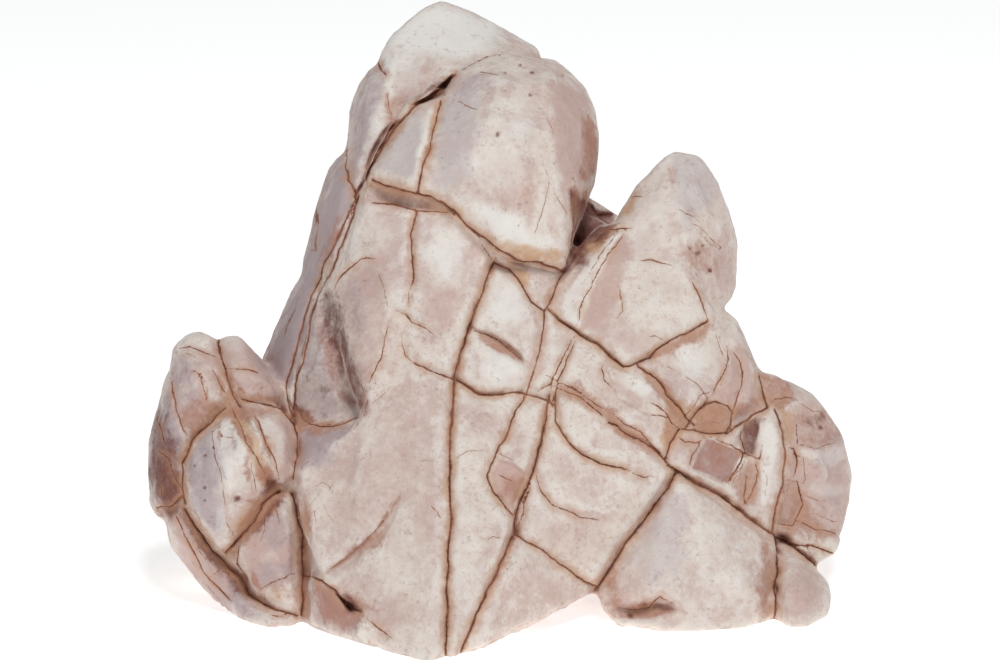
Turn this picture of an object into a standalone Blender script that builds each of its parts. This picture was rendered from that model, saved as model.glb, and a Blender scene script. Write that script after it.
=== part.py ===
"""A weathered sandstone: one jointed stone of many rounded blocks that grew as a single solid.

The stone stands on a flat foot, with the front towards -Y and +Z up. Its blocks are drawn on a
front view that looks down a little: a corner is (across, up, depth), in millimetres, where depth
counts away from the eye. Every block is the convex hull of small balls at its corners, so its
edges are as round as the balls.
"""

import math
from dataclasses import dataclass

import bmesh
import bpy
import numpy as np
from mathutils import Vector, geometry, noise

MM = 0.001

# The front view
VIEW_TILT = math.radians(14)
EYE_DISTANCE = 1600
VIEW_CENTRE = Vector((-0.26, -4.84, 104.6))

# The balls that round the corners of the blocks
BALL_DIVISIONS = 2
# Each ball is pushed in this many times by the sides of its block's outline
PUSHES = 3
# A block reaches past its outline by this much, so that it grows together with its neighbours
SWELL = 0.7
# A block is widest this far behind the roundness of its face
WAIST = 2.5

# How wide a block still is at its back
SLIGHT_TAPER = 0.9
USUAL_TAPER = 0.85
MARKED_TAPER = 0.8
STRONG_TAPER = 0.7
# How far the thin panels of the front, and the big blocks of the back, widen behind their faces
PANEL_SPREAD = 3
BACK_SPREAD = 2.5

# The skin that grows over all the blocks, and how finely it is faceted in the end
VOXEL = 1.8
MOST_TRIANGLES = 9600

# Low lumps, and how squarely a face meets the view where a joint reaches its full depth
LUMP_SIZE = 22
LUMP_HEIGHT = 1.2
FULL_FACING = 0.4

# The flat foot is cut by a slab this thick, and this much wider than the stone
CUTTER_DEPTH = 60
CUTTER_WIDTH = 500

SANDSTONE_COLOUR = (0.66, 0.53, 0.48, 1)
SANDSTONE_ROUGHNESS = 0.8


@dataclass(frozen=True)
class Block:
    """One rounded block. Its back is its front outline, moved by reach and drawn in by taper.

    Behind its face it widens by spread, so that it closes what it leaves open beside its
    neighbours.
    """

    name: str
    radius: float
    reach: float
    corners: tuple
    taper: float = USUAL_TAPER
    spread: float = 0


@dataclass(frozen=True)
class Fissure:
    """A worn joint: width is how far it reaches to either side of its line."""

    width: float
    depth: float
    line: tuple


CORES = (
    Block("heart", 9, 60, (
        (-50, 62, 2), (-20, 50, -4), (20, 40, 2), (30, 6, -14), (34, -30, -20), (34, -90, -20),
        (-6, -112, -50), (-24, -118, -54), (-60, -100, -36), (-74, -60, -20), (-70, -30, -6),
        (-60, 24, 2), (-30, 20, -20), (-14, -10, -30),
    )),
    Block("top_heart", 9, 26, (
        (-52, 92, 34), (-40, 108, 40), (-20, 120, 46), (14, 106, 40), (32, 92, 32), (30, 56, 8),
        (8, 44, -16), (-28, 62, -10), (-44, 76, 16),
    )),
    Block("heart_back", 10, -60, (
        (-50, 74, 66), (10, 76, 68), (36, 30, 66), (56, -30, 70), (56, -80, 84), (-56, -80, 92),
        (-84, -60, 66), (-84, -16, 56), (-72, 30, 56),
    )),
    Block("right_core", 8, 50, (
        (36, 36, 2), (60, 44, 4), (78, 40, 8), (83, 8, 6), (98, -24, 8), (104, -70, 4),
        (104, -108, -12), (50, -108, -24), (40, -40, -20), (44, 0, -14), (76, -60, -12),
    )),
    Block("far_core", 7, 40, (
        (90, -30, 6), (104, -28, 10), (120, -38, 18), (126, -60, 16), (118, -78, 10), (90, -70, 0),
    )),
    Block("left_core", 7, 46, (
        (-124, -14, 4), (-92, -14, 4), (-76, -40, -10), (-76, -102, -22), (-112, -98, -8),
        (-130, -62, 2), (-100, -56, -20), (-104, -92, -16),
    )),
    # The roots stand on the ground and fill the stone down to its foot
    Block("left_root", 6, 12, (
        (-24, -126, -60), (-58, -114, -38), (-78, -108, -14), (-84, -95, 30), (-80, -84, 80),
        (-30, -78, 104), (10, -80, 100), (10, -94, 30), (4, -110, -30), (-30, -40, 0),
        (-50, -40, 50), (-10, 0, 50),
    )),
    Block("right_root", 6, 12, (
        (8, -94, 30), (8, -80, 100), (60, -80, 92), (100, -86, 60), (104, -100, 10),
        (96, -110, -14), (52, -108, -12), (44, -98, 22), (30, -40, 20), (70, -40, 30),
        (50, 0, 50), (90, -40, 40),
    )),
    # The seams close the deep gaps beside the left lobe, the right lobe and the flank
    Block("lobe_seam", 4, 40, (
        (-90, -50, -12), (-70, -56, -22), (-64, -100, -38), (-66, -116, -38), (-80, -112, -22),
        (-92, -104, -16),
    )),
    Block("right_seam", 4, 40, (
        (100, -76, 0), (122, -80, 6), (126, -96, 0), (113, -112, -14), (100, -108, -14),
    )),
    Block("flank_seam", 3, 40, (
        (-60, 66, 14), (-50, 64, 2), (-50, 46, -6), (-60, 40, -2), (-62, 56, 8),
    )),
)

FRONT_BLOCKS = (
    # The crown, behind and to the left of the dome
    Block("crown", 6, 30, (
        (-48.5, 112.5, 30), (-41, 121.5, 32), (-31, 129.5, 36), (-22, 133.5, 40), (-13, 128.5, 42),
        (3, 119.5, 45), (20, 111, 46), (4, 96, 16), (-20, 99, 8), (-40, 82, 10), (-46, 98, 18),
    ), STRONG_TAPER),
    Block("crown_flank", 4, 30, (
        (-47, 107, 28), (-51, 106.5, 32), (-55.5, 100.5, 36), (-60, 88, 38), (-61.5, 72, 34),
        (-58, 56, 8), (-50, 66, 4), (-41, 82, 9), (-45, 100, 17),
    )),
    # The dome, whose lower edge overhangs the body
    Block("dome", 4, 50, (
        (-32, 56, -23), (-17, 44, -28), (-2, 32.5, -32), (25, 25, -21), (30, 42, -12),
        (37, 60, 4), (39.5, 76, 12), (38.5, 88, 18), (34, 99, 23), (22, 108.5, 24), (2, 112, 18),
        (-14, 107, 8), (-25, 93, -4), (-22, 76, -17), (-2, 84, -25), (8, 66, -32), (20, 82, -18),
        (27, 60, -17), (0, 98, -13), (18, 98, -4), (29, 82, -4), (22, 42, -23),
    ), MARKED_TAPER),
    Block("wedge", 3, 30, (
        (-51.5, 62, -13), (-42, 80, -4), (-34, 91, 2), (-24, 95, -2), (-27, 78, -15),
        (-33, 57, -25),
    ), SLIGHT_TAPER, PANEL_SPREAD),
    # The body under the ledge
    Block("ledge_strip", 1.5, 20, (
        (-52, 60, -8), (-33, 56, -13), (-17, 48, -17), (-34, 49, -16), (-54, 53, -9),
    ), SLIGHT_TAPER, PANEL_SPREAD),
    Block("shoulder_panel", 2, 30, (
        (-54, 52, -11), (-34, 50, -19), (-36, 8, -33), (-46, 5, -31), (-59, 32, -14),
    ), SLIGHT_TAPER, PANEL_SPREAD),
    Block("centre_panel", 2, 40, (
        (-34, 49.5, -20), (-18, 47, -22), (-4, 29, -25), (-12, 2, -35), (-19, -18, -41),
        (-37, -9, -38), (-35, 20, -30),
    ), SLIGHT_TAPER, PANEL_SPREAD),
    Block("keystone", 2, 30, (
        (-2, 28, -25), (7, 22, -26), (15, 10, -29), (16, -2, -31), (11, -22, -36),
        (-5, -25, -40), (-18, -18, -41), (-12, 2, -35),
    ), SLIGHT_TAPER, PANEL_SPREAD),
    Block("under_ledge", 1.5, 25, (
        (0, 31, -19), (25, 25, -13), (19, 11, -21), (14, 9, -26), (7, 22, -24),
    ), SLIGHT_TAPER, PANEL_SPREAD),
    Block("seam_strip", 1.6, 25, (
        (19, 9, -27), (29, 0, -27), (23, -12, -31), (20, -22, -34), (12, -22, -34), (16, -4, -29),
    ), SLIGHT_TAPER, PANEL_SPREAD),
    Block("shoulder_ridge", 4, 24, (
        (-67, 17, -10), (-58, 31, -14), (-47, 9, -31), (-49, -12, -35), (-53, -31, -37),
        (-58, -10, -29),
    ), SLIGHT_TAPER, PANEL_SPREAD),
    Block("slab_top", 2, 40, (
        (-46, 6, -32), (-37, -9, -38), (-19.5, -19, -42), (-20, -60, -56), (-22, -129, -70),
        (-31, -132, -70), (-46, -125, -61), (-57, -100, -54), (-58, -60, -46), (-54, -32, -38),
        (-49, -12, -35),
    ), SLIGHT_TAPER, PANEL_SPREAD),
    Block("slab_foot", 2.5, 40, (
        (-54, -32, -38), (-63, -42, -36), (-81, -60, -33), (-79, -80, -39), (-70, -97, -47),
        (-60, -106, -52), (-57, -115, -54), (-46, -125, -60), (-24, -125, -69), (-22, -60, -55),
        (-35, -30, -45),
    )),
    Block("left_foot", 2.5, 36, (
        (-78, -98, -34), (-70, -98, -41), (-56, -108, -50), (-46, -122, -58), (-50, -125.5, -54),
        (-66, -121, -42), (-72, -115.5, -34), (-79, -113.5, -30),
    )),
    Block("centre_strip", 2, 40, (
        (-18.5, -19, -42), (9.5, -24, -37), (-3, -49, -49), (-6, -58, -52), (5, -74, -53),
        (0, -92, -58), (-14, -125, -66), (-21.5, -129, -69), (-19.5, -60, -57),
    ), SLIGHT_TAPER, PANEL_SPREAD),
    Block("inner_strip", 1.8, 30, (
        (11, -24, -36), (19.5, -27, -35), (12.5, -56, -46), (5.5, -72, -49), (-5.5, -57, -48),
        (-2, -47, -46),
    ), SLIGHT_TAPER, PANEL_SPREAD),
    Block("big_panel", 2.2, 40, (
        (23, -22, -36), (46, -37, -34), (69, -55, -29), (41, -99.5, -30), (8.5, -81, -46),
        (16, -45, -42),
    ), SLIGHT_TAPER, PANEL_SPREAD),
    Block("lower_facet", 2.5, 40, (
        (7, -82, -48), (39, -100, -27), (35, -104, -24), (18, -110.5, -36), (2, -120.5, -50),
        (-14, -127, -62), (2, -92, -57),
    )),
    # The flank that turns away to the left
    Block("flank", 4, 30, (
        (-61, 75, 36), (-68, 65, 36), (-74.5, 47, 36), (-80.5, 22, 33), (-80, 0, 10),
        (-58, -12, -14), (-60, -4, -11), (-68, 18, -4), (-62, 40, 0), (-57, 56, 2),
    )),
    Block("lower_flank", 4, 30, (
        (-79.5, 25, 33), (-86.5, 9, 31), (-96, -11, 28), (-92, -25, 10),
        (-84, -36, -5), (-57, -34, -17), (-60, -4, -11), (-70, 12, -3),
    )),
    Block("shelf", 2.5, 25, (
        (-83, -36, -9), (-56, -34, -19), (-61, -42, -33), (-80, -60, -31), (-84, -50, -14),
    ), SLIGHT_TAPER, PANEL_SPREAD),
    # The left lobe
    Block("egg", 7, 24, (
        (-110, -30, -24), (-101, -27.5, -24), (-88, -33, -24), (-82, -46, -25), (-85, -60, -27),
        (-97, -77, -28), (-109, -88, -26), (-121, -78, -24), (-127.5, -62, -23), (-125, -49, -22),
        (-106, -52, -38), (-98, -46, -37),
    ), SLIGHT_TAPER, PANEL_SPREAD),
    Block("upper_left_lobe", 5, 26, (
        (-129.5, -4, -4), (-123, 0, -4), (-117, 0, -4), (-112, -5, -8), (-109, -27, -16),
        (-122, -44, -16), (-130, -40, -12), (-134.5, -24, -6), (-120, -20, -17),
    ), STRONG_TAPER),
    Block("upper_right_lobe", 5, 26, (
        (-113, -3, -4), (-107, -0.5, -3), (-102.5, -2.5, -2), (-96, -10, -1), (-85, -28, -10),
        (-98, -30, -17), (-110, -27, -15), (-103, -16, -14),
    )),
    Block("outer_lobe", 5, 26, (
        (-131, -10, 2), (-136.5, -26, 4), (-139.5, -40, 5), (-141.2, -54, 6), (-141, -68, 5),
        (-137, -73, 2), (-132, -75, -4), (-127, -66, -16), (-126, -48, -16), (-129, -38, -12),
    ), STRONG_TAPER),
    Block("lower_left_lobe", 5, 26, (
        (-133, -76, 2), (-132, -85, 1), (-126, -93, 0), (-118, -102, -2), (-110, -109.5, -6),
        (-103, -114, -12), (-100, -104, -20), (-108, -92, -20), (-118, -81, -19),
        (-127, -68, -15),
    ), STRONG_TAPER),
    Block("inner_lobe", 5, 28, (
        (-105, -84, -24), (-94, -73, -28), (-83, -60, -24), (-79.5, -76, -26), (-79.5, -111, -28),
        (-90, -110, -28), (-100, -102, -25), (-104, -92, -24), (-90, -90, -33),
    )),
    Block("lobe_foot", 4, 34, (
        (-104, -104, -22), (-92, -109, -29), (-80, -112, -30), (-82, -116.5, -31),
        (-90, -118.5, -33), (-98, -117, -29), (-110, -110.5, -12),
    )),
    # The right peak
    Block("peak", 4, 30, (
        (46, 46, 4), (55, 58, 5), (67, 70.5, 8), (72, 72, 9), (81, 70, 12), (87, 60, 14),
        (87.5, 52, 14), (91.5, 45, 14), (94.5, 37, 15), (94.5, 18, 15), (92, 12, 12),
        (84, 8, 0), (76, 22, -12), (60, 28, -12), (52, 36, -8), (70, 50, -8),
    ), STRONG_TAPER),
    Block("peak_face", 3, 34, (
        (54, 29, -14), (69, 28, -16), (76, 22, -14), (83, 6, -13), (70, -2, -21),
        (50, -13, -29), (40, -5, -27), (31, 2, -26), (34, 14, -22), (42, 28, -16), (60, 10, -24),
    ), SLIGHT_TAPER, PANEL_SPREAD),
    Block("peak_rim", 2.5, 26, (
        (18.5, 9, -20), (21, 18, -16), (30, 30, -9), (40, 40, -3), (51, 42, -7), (42, 28, -16),
        (33, 12, -23), (30, 1, -26),
    ), SLIGHT_TAPER, PANEL_SPREAD),
    # The blocks under the peak
    Block("under_peak", 3, 30, (
        (83, 5, -7), (60, -9, -21), (58, -13, -23), (68, -23, -23), (77, -30, -21),
        (85, -24, -15), (91, -8, -4), (88, 5, 2),
    ), SLIGHT_TAPER, PANEL_SPREAD),
    Block("rib_inner", 2, 22, (
        (91.5, -4, -4), (97, -14, -4), (95, -26, -11), (86, -26, -14), (90, -14, -7),
    ), SLIGHT_TAPER, PANEL_SPREAD),
    Block("rib_outer", 3.5, 26, (
        (87, 8, 8), (92, 1, 9), (98, -8, 10), (103.5, -17, 10), (107.5, -30, 4), (95, -31, -9),
        (98, -16, -3), (93, -4, -1),
    )),
    Block("knuckle", 2.4, 22, (
        (78, -31, -20), (86, -26, -17), (93, -31, -13), (90, -40, -13), (78, -40, -18),
        (72, -37, -22),
    ), SLIGHT_TAPER, PANEL_SPREAD),
    Block("band_block", 2, 24, (
        (29.5, 0, -29), (42, -8, -29), (45, -28, -33), (38, -28, -34), (24, -19, -35),
    ), SLIGHT_TAPER, PANEL_SPREAD),
    Block("splinter", 1.2, 24, (
        (21, -19, -34), (38, -27, -34), (45, -29, -33), (51, -40, -33), (45, -37, -34),
        (33, -27, -36),
    ), SLIGHT_TAPER, PANEL_SPREAD),
    Block("claw", 2.2, 28, (
        (42, -11, -28), (50, -14, -29), (58, -13, -26), (68, -23, -26), (76, -35, -23),
        (71, -40, -24), (66, -51, -28), (55, -43, -32), (44, -32, -34),
    ), SLIGHT_TAPER, PANEL_SPREAD),
    Block("band_middle", 2.5, 26, (
        (67, -51, -28), (72, -40, -22), (90, -40, -15), (97, -47, -12), (97, -58, -13),
        (92, -67, -16), (72, -56, -26),
    ), SLIGHT_TAPER, PANEL_SPREAD),
    Block("shard", 2.5, 24, (
        (92, -40, -9), (108.5, -30, -4), (112, -36, -3), (114.5, -52, -6), (110, -79, -10),
        (92, -67, -17),
    ), SLIGHT_TAPER, PANEL_SPREAD),
    Block("far_block", 5, 30, (
        (103, -17, 6), (108, -16, 9), (114, -18.5, 13), (126, -25, 19), (131, -32, 21),
        (137, -41, 22), (138.5, -50, 22), (140.8, -58, 22), (138.5, -72, 20), (136, -82, 17),
        (126, -92, 7), (110, -80, -3), (114, -50, 0), (108, -28, 2),
    ), STRONG_TAPER),
    Block("far_foot", 3, 22, (
        (118, -78, 0), (125, -79, 3), (136, -81, 10), (133.5, -88, 8), (126, -93, 2),
        (112, -81, -5),
    )),
    Block("lower_block", 4, 44, (
        (70, -57, -28), (110, -81, -15), (110.5, -110, -20), (107, -115.5, -26), (95, -119, -33),
        (78, -120, -37), (60, -118, -38), (47, -116, -36), (41.5, -110, -32), (39, -101, -27),
        (62, -98, -40), (92, -98, -36),
    )),
    Block("lower_lobe", 7, 40, (
        (111, -83, -10), (122, -91, -12), (130, -98, -12), (132.5, -106, -14), (130, -114, -22),
        (122, -119.5, -33), (113, -118.5, -33), (108.5, -112, -26), (118, -104, -30),
    ), MARKED_TAPER),
    # The dark saddle behind the gap between dome and peak
    Block("saddle", 3, 34, (
        (26, 58, 30), (37, 48, 28), (48, 47, 30), (56, 30, 26), (28, 20, 22),
    )),
)

BACK_BLOCKS = (
    Block("back_crown", 6, -30, (
        (-50, 104, 60), (-26, 124, 60), (8, 112, 62), (14, 84, 72), (-26, 80, 82), (-54, 84, 66),
    )),
    Block("back_dome", 6, -40, (
        (8, 106, 54), (28, 98, 48), (36, 78, 48), (34, 56, 60), (16, 52, 76), (12, 82, 72),
    )),
    Block("back_left", 5, -36, (
        (-56, 82, 62), (-28, 78, 78), (-34, 26, 94), (-80, 18, 68), (-72, 52, 58),
    )),
    Block("back_keel", 5, -40, (
        (-28, 80, 82), (14, 82, 74), (16, 50, 78), (32, 16, 84), (-4, -2, 102), (-36, 24, 96),
    ), USUAL_TAPER, BACK_SPREAD),
    Block("back_shoulder", 5, -34, (
        (30, 50, 60), (44, 42, 54), (58, 6, 66), (52, -24, 80), (31, 16, 82), (15, 50, 74),
    ), USUAL_TAPER, BACK_SPREAD),
    Block("back_peak", 5, -30, (
        (56, 54, 32), (68, 66, 32), (82, 62, 34), (90, 34, 42), (86, 6, 54), (58, 4, 62),
        (46, 34, 50),
    )),
    Block("back_slab", 6, -44, (
        (-36, 26, 92), (-4, -1, 98), (0, -90, 116), (-46, -92, 110), (-66, -62, 92),
        (-82, 12, 70),
    ), USUAL_TAPER, BACK_SPREAD),
    Block("back_panel", 6, -44, (
        (-4, 0, 104), (31, 14, 86), (52, -24, 80), (62, -92, 96), (0, -92, 118),
    ), USUAL_TAPER, BACK_SPREAD),
    Block("back_flank", 5, -40, (
        (-82, 14, 66), (-94, -12, 54), (-92, -60, 62), (-86, -92, 76), (-46, -92, 104),
        (-66, -60, 86),
    )),
    Block("back_right", 6, -34, (
        (58, 6, 68), (83, 5, 54), (97, -16, 52), (103, -26, 54), (108, -60, 66), (82, -72, 82),
        (50, -24, 78),
    )),
    Block("back_right_foot", 6, -40, (
        (52, -28, 82), (82, -70, 84), (104, -66, 72), (106, -96, 72), (62, -96, 98),
    ), USUAL_TAPER, BACK_SPREAD),
    Block("back_far", 5, -30, (
        (106, -24, 44), (124, -34, 40), (133, -56, 42), (126, -84, 46), (106, -92, 64),
        (107, -58, 62),
    )),
    Block("back_lobe_top", 8, -34, (
        (-126, -6, 26), (-98, -8, 30), (-88, -22, 40), (-92, -54, 48), (-112, -60, 50),
        (-130, -54, 38), (-136, -30, 28), (-112, -30, 46),
    )),
    Block("back_lobe_foot", 5, -34, (
        (-130, -52, 38), (-93, -52, 52), (-86, -94, 62), (-112, -98, 44), (-129, -84, 32),
    )),
    # The foot behind, part sunk in the ground
    Block("back_toe", 6, -40, (
        (-40, -60, 112), (-6, -50, 118), (20, -66, 114), (16, -92, 122), (-34, -92, 122),
    ), USUAL_TAPER, BACK_SPREAD),
)

# Worn joints that no block's edge gives, drawn on the front view
FISSURES = (
    Fissure(2.8, 2.2, (
        (-4, 27), (-8, 16), (-12, 3), (-15, -5), (-18, -18), (-19, -28), (-20, -60), (-19, -75),
        (-21, -90), (-21, -105), (-22, -129),
    )),
    Fissure(2.8, 1.8, (
        (-39, 0), (-38, -8), (-33, -12), (-18, -18), (-6, -25), (5, -23.5), (20, -27),
    )),
    Fissure(2.8, 2.2, (
        (31, 0), (28, -5), (24, -12), (20, -27), (18, -38), (14, -52), (8, -68), (6, -80), (0, -93),
        (-9, -112), (-16, -127),
    )),
    Fissure(2.6, 1.6, ((9, -24), (4, -38), (-3, -52), (-5.5, -57), (-3, -63), (5, -73))),
    Fissure(2.8, 2.2, (
        (25, -22), (33, -26), (38, -32), (50, -39), (60, -45), (70, -55), (82, -62), (98, -73),
        (110, -81), (120, -88), (126, -93),
    )),
    Fissure(2.8, 2.2, ((70, -56), (62, -69), (55, -78), (45, -93), (38, -103))),
    Fissure(2.6, 1.6, ((-8, 37), (-2, 29), (5, 24), (15, 9.5), (17, 0), (12, -15), (10, -24))),
    Fissure(2.4, 1.4, ((-34, 49), (-36, 30), (-36, 8))),
    Fissure(2.4, 1.4, ((-34, 90), (-26, 85), (-31, 65), (-33, 57))),
    Fissure(3.2, 2.6, ((-41, -66), (-45, -71), (-49, -78), (-54, -84), (-60, -89), (-68, -95))),
    Fissure(3, 2.2, ((-12, 2), (-5, 0), (0, -4), (6, -8), (10, -12))),
    Fissure(2.6, 2, ((-42, 9), (-35, 4), (-30, 2), (-12, 2))),
    Fissure(2.6, 1.8, ((22, -25), (22, -35), (25, -42), (29, -45), (40, -52), (58, -58))),
    Fissure(2.6, 1.4, ((14, -55), (20, -68), (26, -71), (42, -75))),
    Fissure(3, 2, ((24, -19), (30, -21), (38, -27), (50, -17), (60, -10))),
    Fissure(3.2, 3, ((-107, -28), (-111, -30), (-117, -37), (-123, -43), (-127, -52))),
    Fissure(3.4, 3, (
        (-128, -66), (-122, -77), (-115, -87), (-108, -94), (-103, -98), (-101, -104), (-95, -108),
        (-90, -111), (-81, -113),
    )),
    Fissure(3, 2.2, ((-88, -63), (-95, -68), (-98, -75), (-105, -83), (-110, -88))),
    Fissure(3, 2, (
        (-103, -27), (-97, -28), (-88, -30), (-83, -36), (-81, -42), (-81, -50), (-83, -58),
    )),
    Fissure(4, 4, ((-83, -62), (-81, -72), (-79, -80), (-79, -95), (-79, -113))),
    Fissure(3, 2, ((-107, -28), (-100, -41), (-93, -52), (-90, -60))),
    Fissure(3, 2, ((-113, -2), (-110, -15), (-104, -30))),
    Fissure(3, 1.6, ((-137, -30), (-133, -47), (-126, -56))),
    Fissure(4, 2.4, ((99, -53), (98, -65), (97, -71))),
    Fissure(3, 2, ((114, -59), (121, -68), (117, -77), (110, -76))),
    Fissure(3, 2, ((-57, 54), (-65, 38), (-72, 22), (-78, 8), (-83, -12), (-84, -30))),
    Fissure(6, 4, ((47, -110), (55, -111), (64, -108), (69, -112))),
)


RIGHT = Vector((1, 0, 0))
ABOVE = Vector((0, math.sin(VIEW_TILT), math.cos(VIEW_TILT)))
AWAY = Vector((0, math.cos(VIEW_TILT), -math.sin(VIEW_TILT)))


def seen(across, up, depth):
    """The point that the front view shows at (across, up), this deep behind the view's plane."""
    spread = 1 + depth / EYE_DISTANCE
    point = RIGHT * across * spread + ABOVE * up * spread + AWAY * depth
    return (VIEW_CENTRE + point) * MM


def on_view(places):
    """Where the front view shows each of these places: its across and up, in millimetres."""
    from_centre = places / MM - np.array(VIEW_CENTRE)
    spread = 1 + from_centre @ np.array(AWAY) / EYE_DISTANCE
    across = from_centre @ np.array(RIGHT) / spread
    up = from_centre @ np.array(ABOVE) / spread
    return np.column_stack((across, up))


def ball_points():
    """The directions from a ball's centre to the points of its skin."""
    skin = bmesh.new()
    bmesh.ops.create_icosphere(skin, subdivisions=BALL_DIVISIONS, radius=1)
    points = [vertex.co.copy() for vertex in skin.verts]
    skin.free()
    return points


def drawn_in(block, inset):
    """The block's corners on the view, each moved in until it lies inset inside the outline."""
    corners = [Vector(corner[:2]) for corner in block.corners]
    loop = geometry.convex_hull_2d(corners)
    sides = []
    for here, after in zip(loop, loop[1:] + loop[:1]):
        along = (corners[after] - corners[here]).normalized()
        sides.append((corners[here], Vector((-along.y, along.x))))
    moved = []
    for corner in corners:
        place = corner.copy()
        for _ in range(PUSHES):
            for start, inward in sides:
                place += inward * max(0, inset - inward.dot(place - start))
        moved.append(place)
    return moved


def ball_centres(block):
    """The centres of the block's balls: its face, its waist as wide as its outline, its back."""
    facing = math.copysign(1, block.reach)
    face = drawn_in(block, block.radius - SWELL)
    waist = drawn_in(block, block.radius - block.spread - SWELL)
    middle = sum(waist, Vector((0, 0))) / len(waist)
    centres = []
    for front, widest, (_, _, depth) in zip(face, waist, block.corners):
        back = middle + (widest - middle) * block.taper
        centres.append(seen(front.x, front.y, depth + facing * block.radius))
        centres.append(seen(widest.x, widest.y, depth + facing * (block.radius + WAIST)))
        centres.append(seen(back.x, back.y, depth + block.reach))
    return centres


def add_block(mesh, block, skin):
    """Adds the block's rounded hull to the mesh."""
    vertices = [
        mesh.verts.new(centre + direction * block.radius * MM)
        for centre in ball_centres(block)
        for direction in skin
    ]
    hull = bmesh.ops.convex_hull(mesh, input=vertices)
    inside = {
        item for item in hull["geom_interior"] + hull["geom_unused"]
        if isinstance(item, bmesh.types.BMVert)
    }
    bmesh.ops.delete(mesh, geom=list(inside), context="VERTS")


def object_of(name, mesh):
    """A new object that shows this mesh."""
    made = bpy.data.objects.new(name, mesh)
    bpy.context.scene.collection.objects.link(made)
    return made


def packed_blocks():
    """All the blocks in one mesh, which still run through each other."""
    skin = ball_points()
    heap = bmesh.new()
    for block in CORES + FRONT_BLOCKS + BACK_BLOCKS:
        add_block(heap, block, skin)
    mesh = bpy.data.meshes.new("blocks")
    heap.to_mesh(mesh)
    heap.free()
    return mesh


def fused(mesh):
    """The blocks grown together into one closed skin."""
    heap = object_of("blocks", mesh)
    remesh = heap.modifiers.new("grow_together", "REMESH")
    remesh.mode = "VOXEL"
    remesh.voxel_size = VOXEL * MM
    bpy.context.view_layer.update()
    graph = bpy.context.evaluated_depsgraph_get()
    skin = bpy.data.meshes.new_from_object(heap.evaluated_get(graph))
    bpy.data.objects.remove(heap)
    return skin


def fill_bubbles(skin):
    """Keeps the outer skin alone, so that no gap is left sealed inside the stone."""
    shells = bmesh.new()
    shells.from_mesh(skin)
    unseen = set(shells.verts)
    parts = []
    while unseen:
        edge = [unseen.pop()]
        part = []
        while edge:
            vertex = edge.pop()
            part.append(vertex)
            near = {link.other_vert(vertex) for link in vertex.link_edges} & unseen
            unseen -= near
            edge.extend(near)
        parts.append(part)
    outer = max(parts, key=len)
    for part in parts:
        if part is not outer:
            bmesh.ops.delete(shells, geom=part, context="VERTS")
    shells.to_mesh(skin)
    shells.free()


def coordinates(skin):
    """The mesh's points and their normals as two arrays."""
    places = np.empty(len(skin.vertices) * 3)
    normals = np.empty(len(skin.vertices) * 3)
    skin.vertices.foreach_get("co", places)
    skin.vertices.foreach_get("normal", normals)
    return places.reshape(-1, 3), normals.reshape(-1, 3)


def distance_to(line, spots):
    """How far each spot of the view lies from a line drawn on it."""
    nearest = np.full(len(spots), np.inf)
    for start, end in zip(np.array(line[:-1], float), np.array(line[1:], float)):
        along = end - start
        share = np.clip((spots - start) @ along / (along @ along), 0, 1)
        offset = spots - start - share[:, None] * along
        nearest = np.minimum(nearest, np.hypot(offset[:, 0], offset[:, 1]))
    return nearest


def weather(skin):
    """Gives the flat faces low lumps, and wears the open joints into the front."""
    places, normals = coordinates(skin)
    swell = np.array([noise.noise(Vector(place) / (LUMP_SIZE * MM)) for place in places])
    moved = swell * LUMP_HEIGHT
    spots = on_view(places)
    facing = np.clip(-(normals @ np.array(AWAY)) / FULL_FACING, 0, 1)
    for fissure in FISSURES:
        nearness = np.clip(1 - distance_to(fissure.line, spots) / fissure.width, 0, 1)
        moved -= fissure.depth * nearness * facing
    places += normals * (moved * MM)[:, None]
    skin.vertices.foreach_set("co", places.ravel())
    skin.update()


def foot_cutter():
    """The slab that cuts the flat foot at the ground."""
    bpy.ops.mesh.primitive_cube_add(size=1, location=(0, 0, -CUTTER_DEPTH / 2 * MM))
    cutter = bpy.context.object
    cutter.name = "foot_cutter"
    cutter.scale = (CUTTER_WIDTH * MM, CUTTER_WIDTH * MM, CUTTER_DEPTH * MM)
    cutter.hide_render = True
    cutter.display_type = "WIRE"
    return cutter


def sandstone_material():
    """Pale pink-grey stone."""
    material = bpy.data.materials.new("sandstone")
    material.use_nodes = True
    surface = material.node_tree.nodes["Principled BSDF"]
    surface.inputs["Base Color"].default_value = SANDSTONE_COLOUR
    surface.inputs["Roughness"].default_value = SANDSTONE_ROUGHNESS
    return material


def build_sandstone():
    """The stone as one object."""
    skin = fused(packed_blocks())
    fill_bubbles(skin)
    weather(skin)
    stone = object_of("sandstone", skin)
    skin.materials.append(sandstone_material())
    triangles = sum(len(polygon.vertices) - 2 for polygon in skin.polygons)
    thin = stone.modifiers.new("fewer_faces", "DECIMATE")
    thin.ratio = MOST_TRIANGLES / triangles
    cut = stone.modifiers.new("flat_foot", "BOOLEAN")
    cut.operation = "DIFFERENCE"
    cut.object = foot_cutter()
    return stone


def main():
    """Clears the scene and builds the stone."""
    for old in list(bpy.data.objects):
        bpy.data.objects.remove(old)
    build_sandstone()


main()
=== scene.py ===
"""The looks of a weathered sandstone, grown out of the solid part, on a pale studio floor.

The stone's skin is worked in millimetres. Joints and stains of the front, with some painted shade, are
drawn on the camera's view, as (across, up) points. Those of the other sides are planes that cut the
stone.
"""

import logging
import math
from dataclasses import dataclass, field
from enum import Enum

import bpy
import numpy as np
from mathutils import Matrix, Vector, noise
from mathutils.bvhtree import BVHTree


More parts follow.
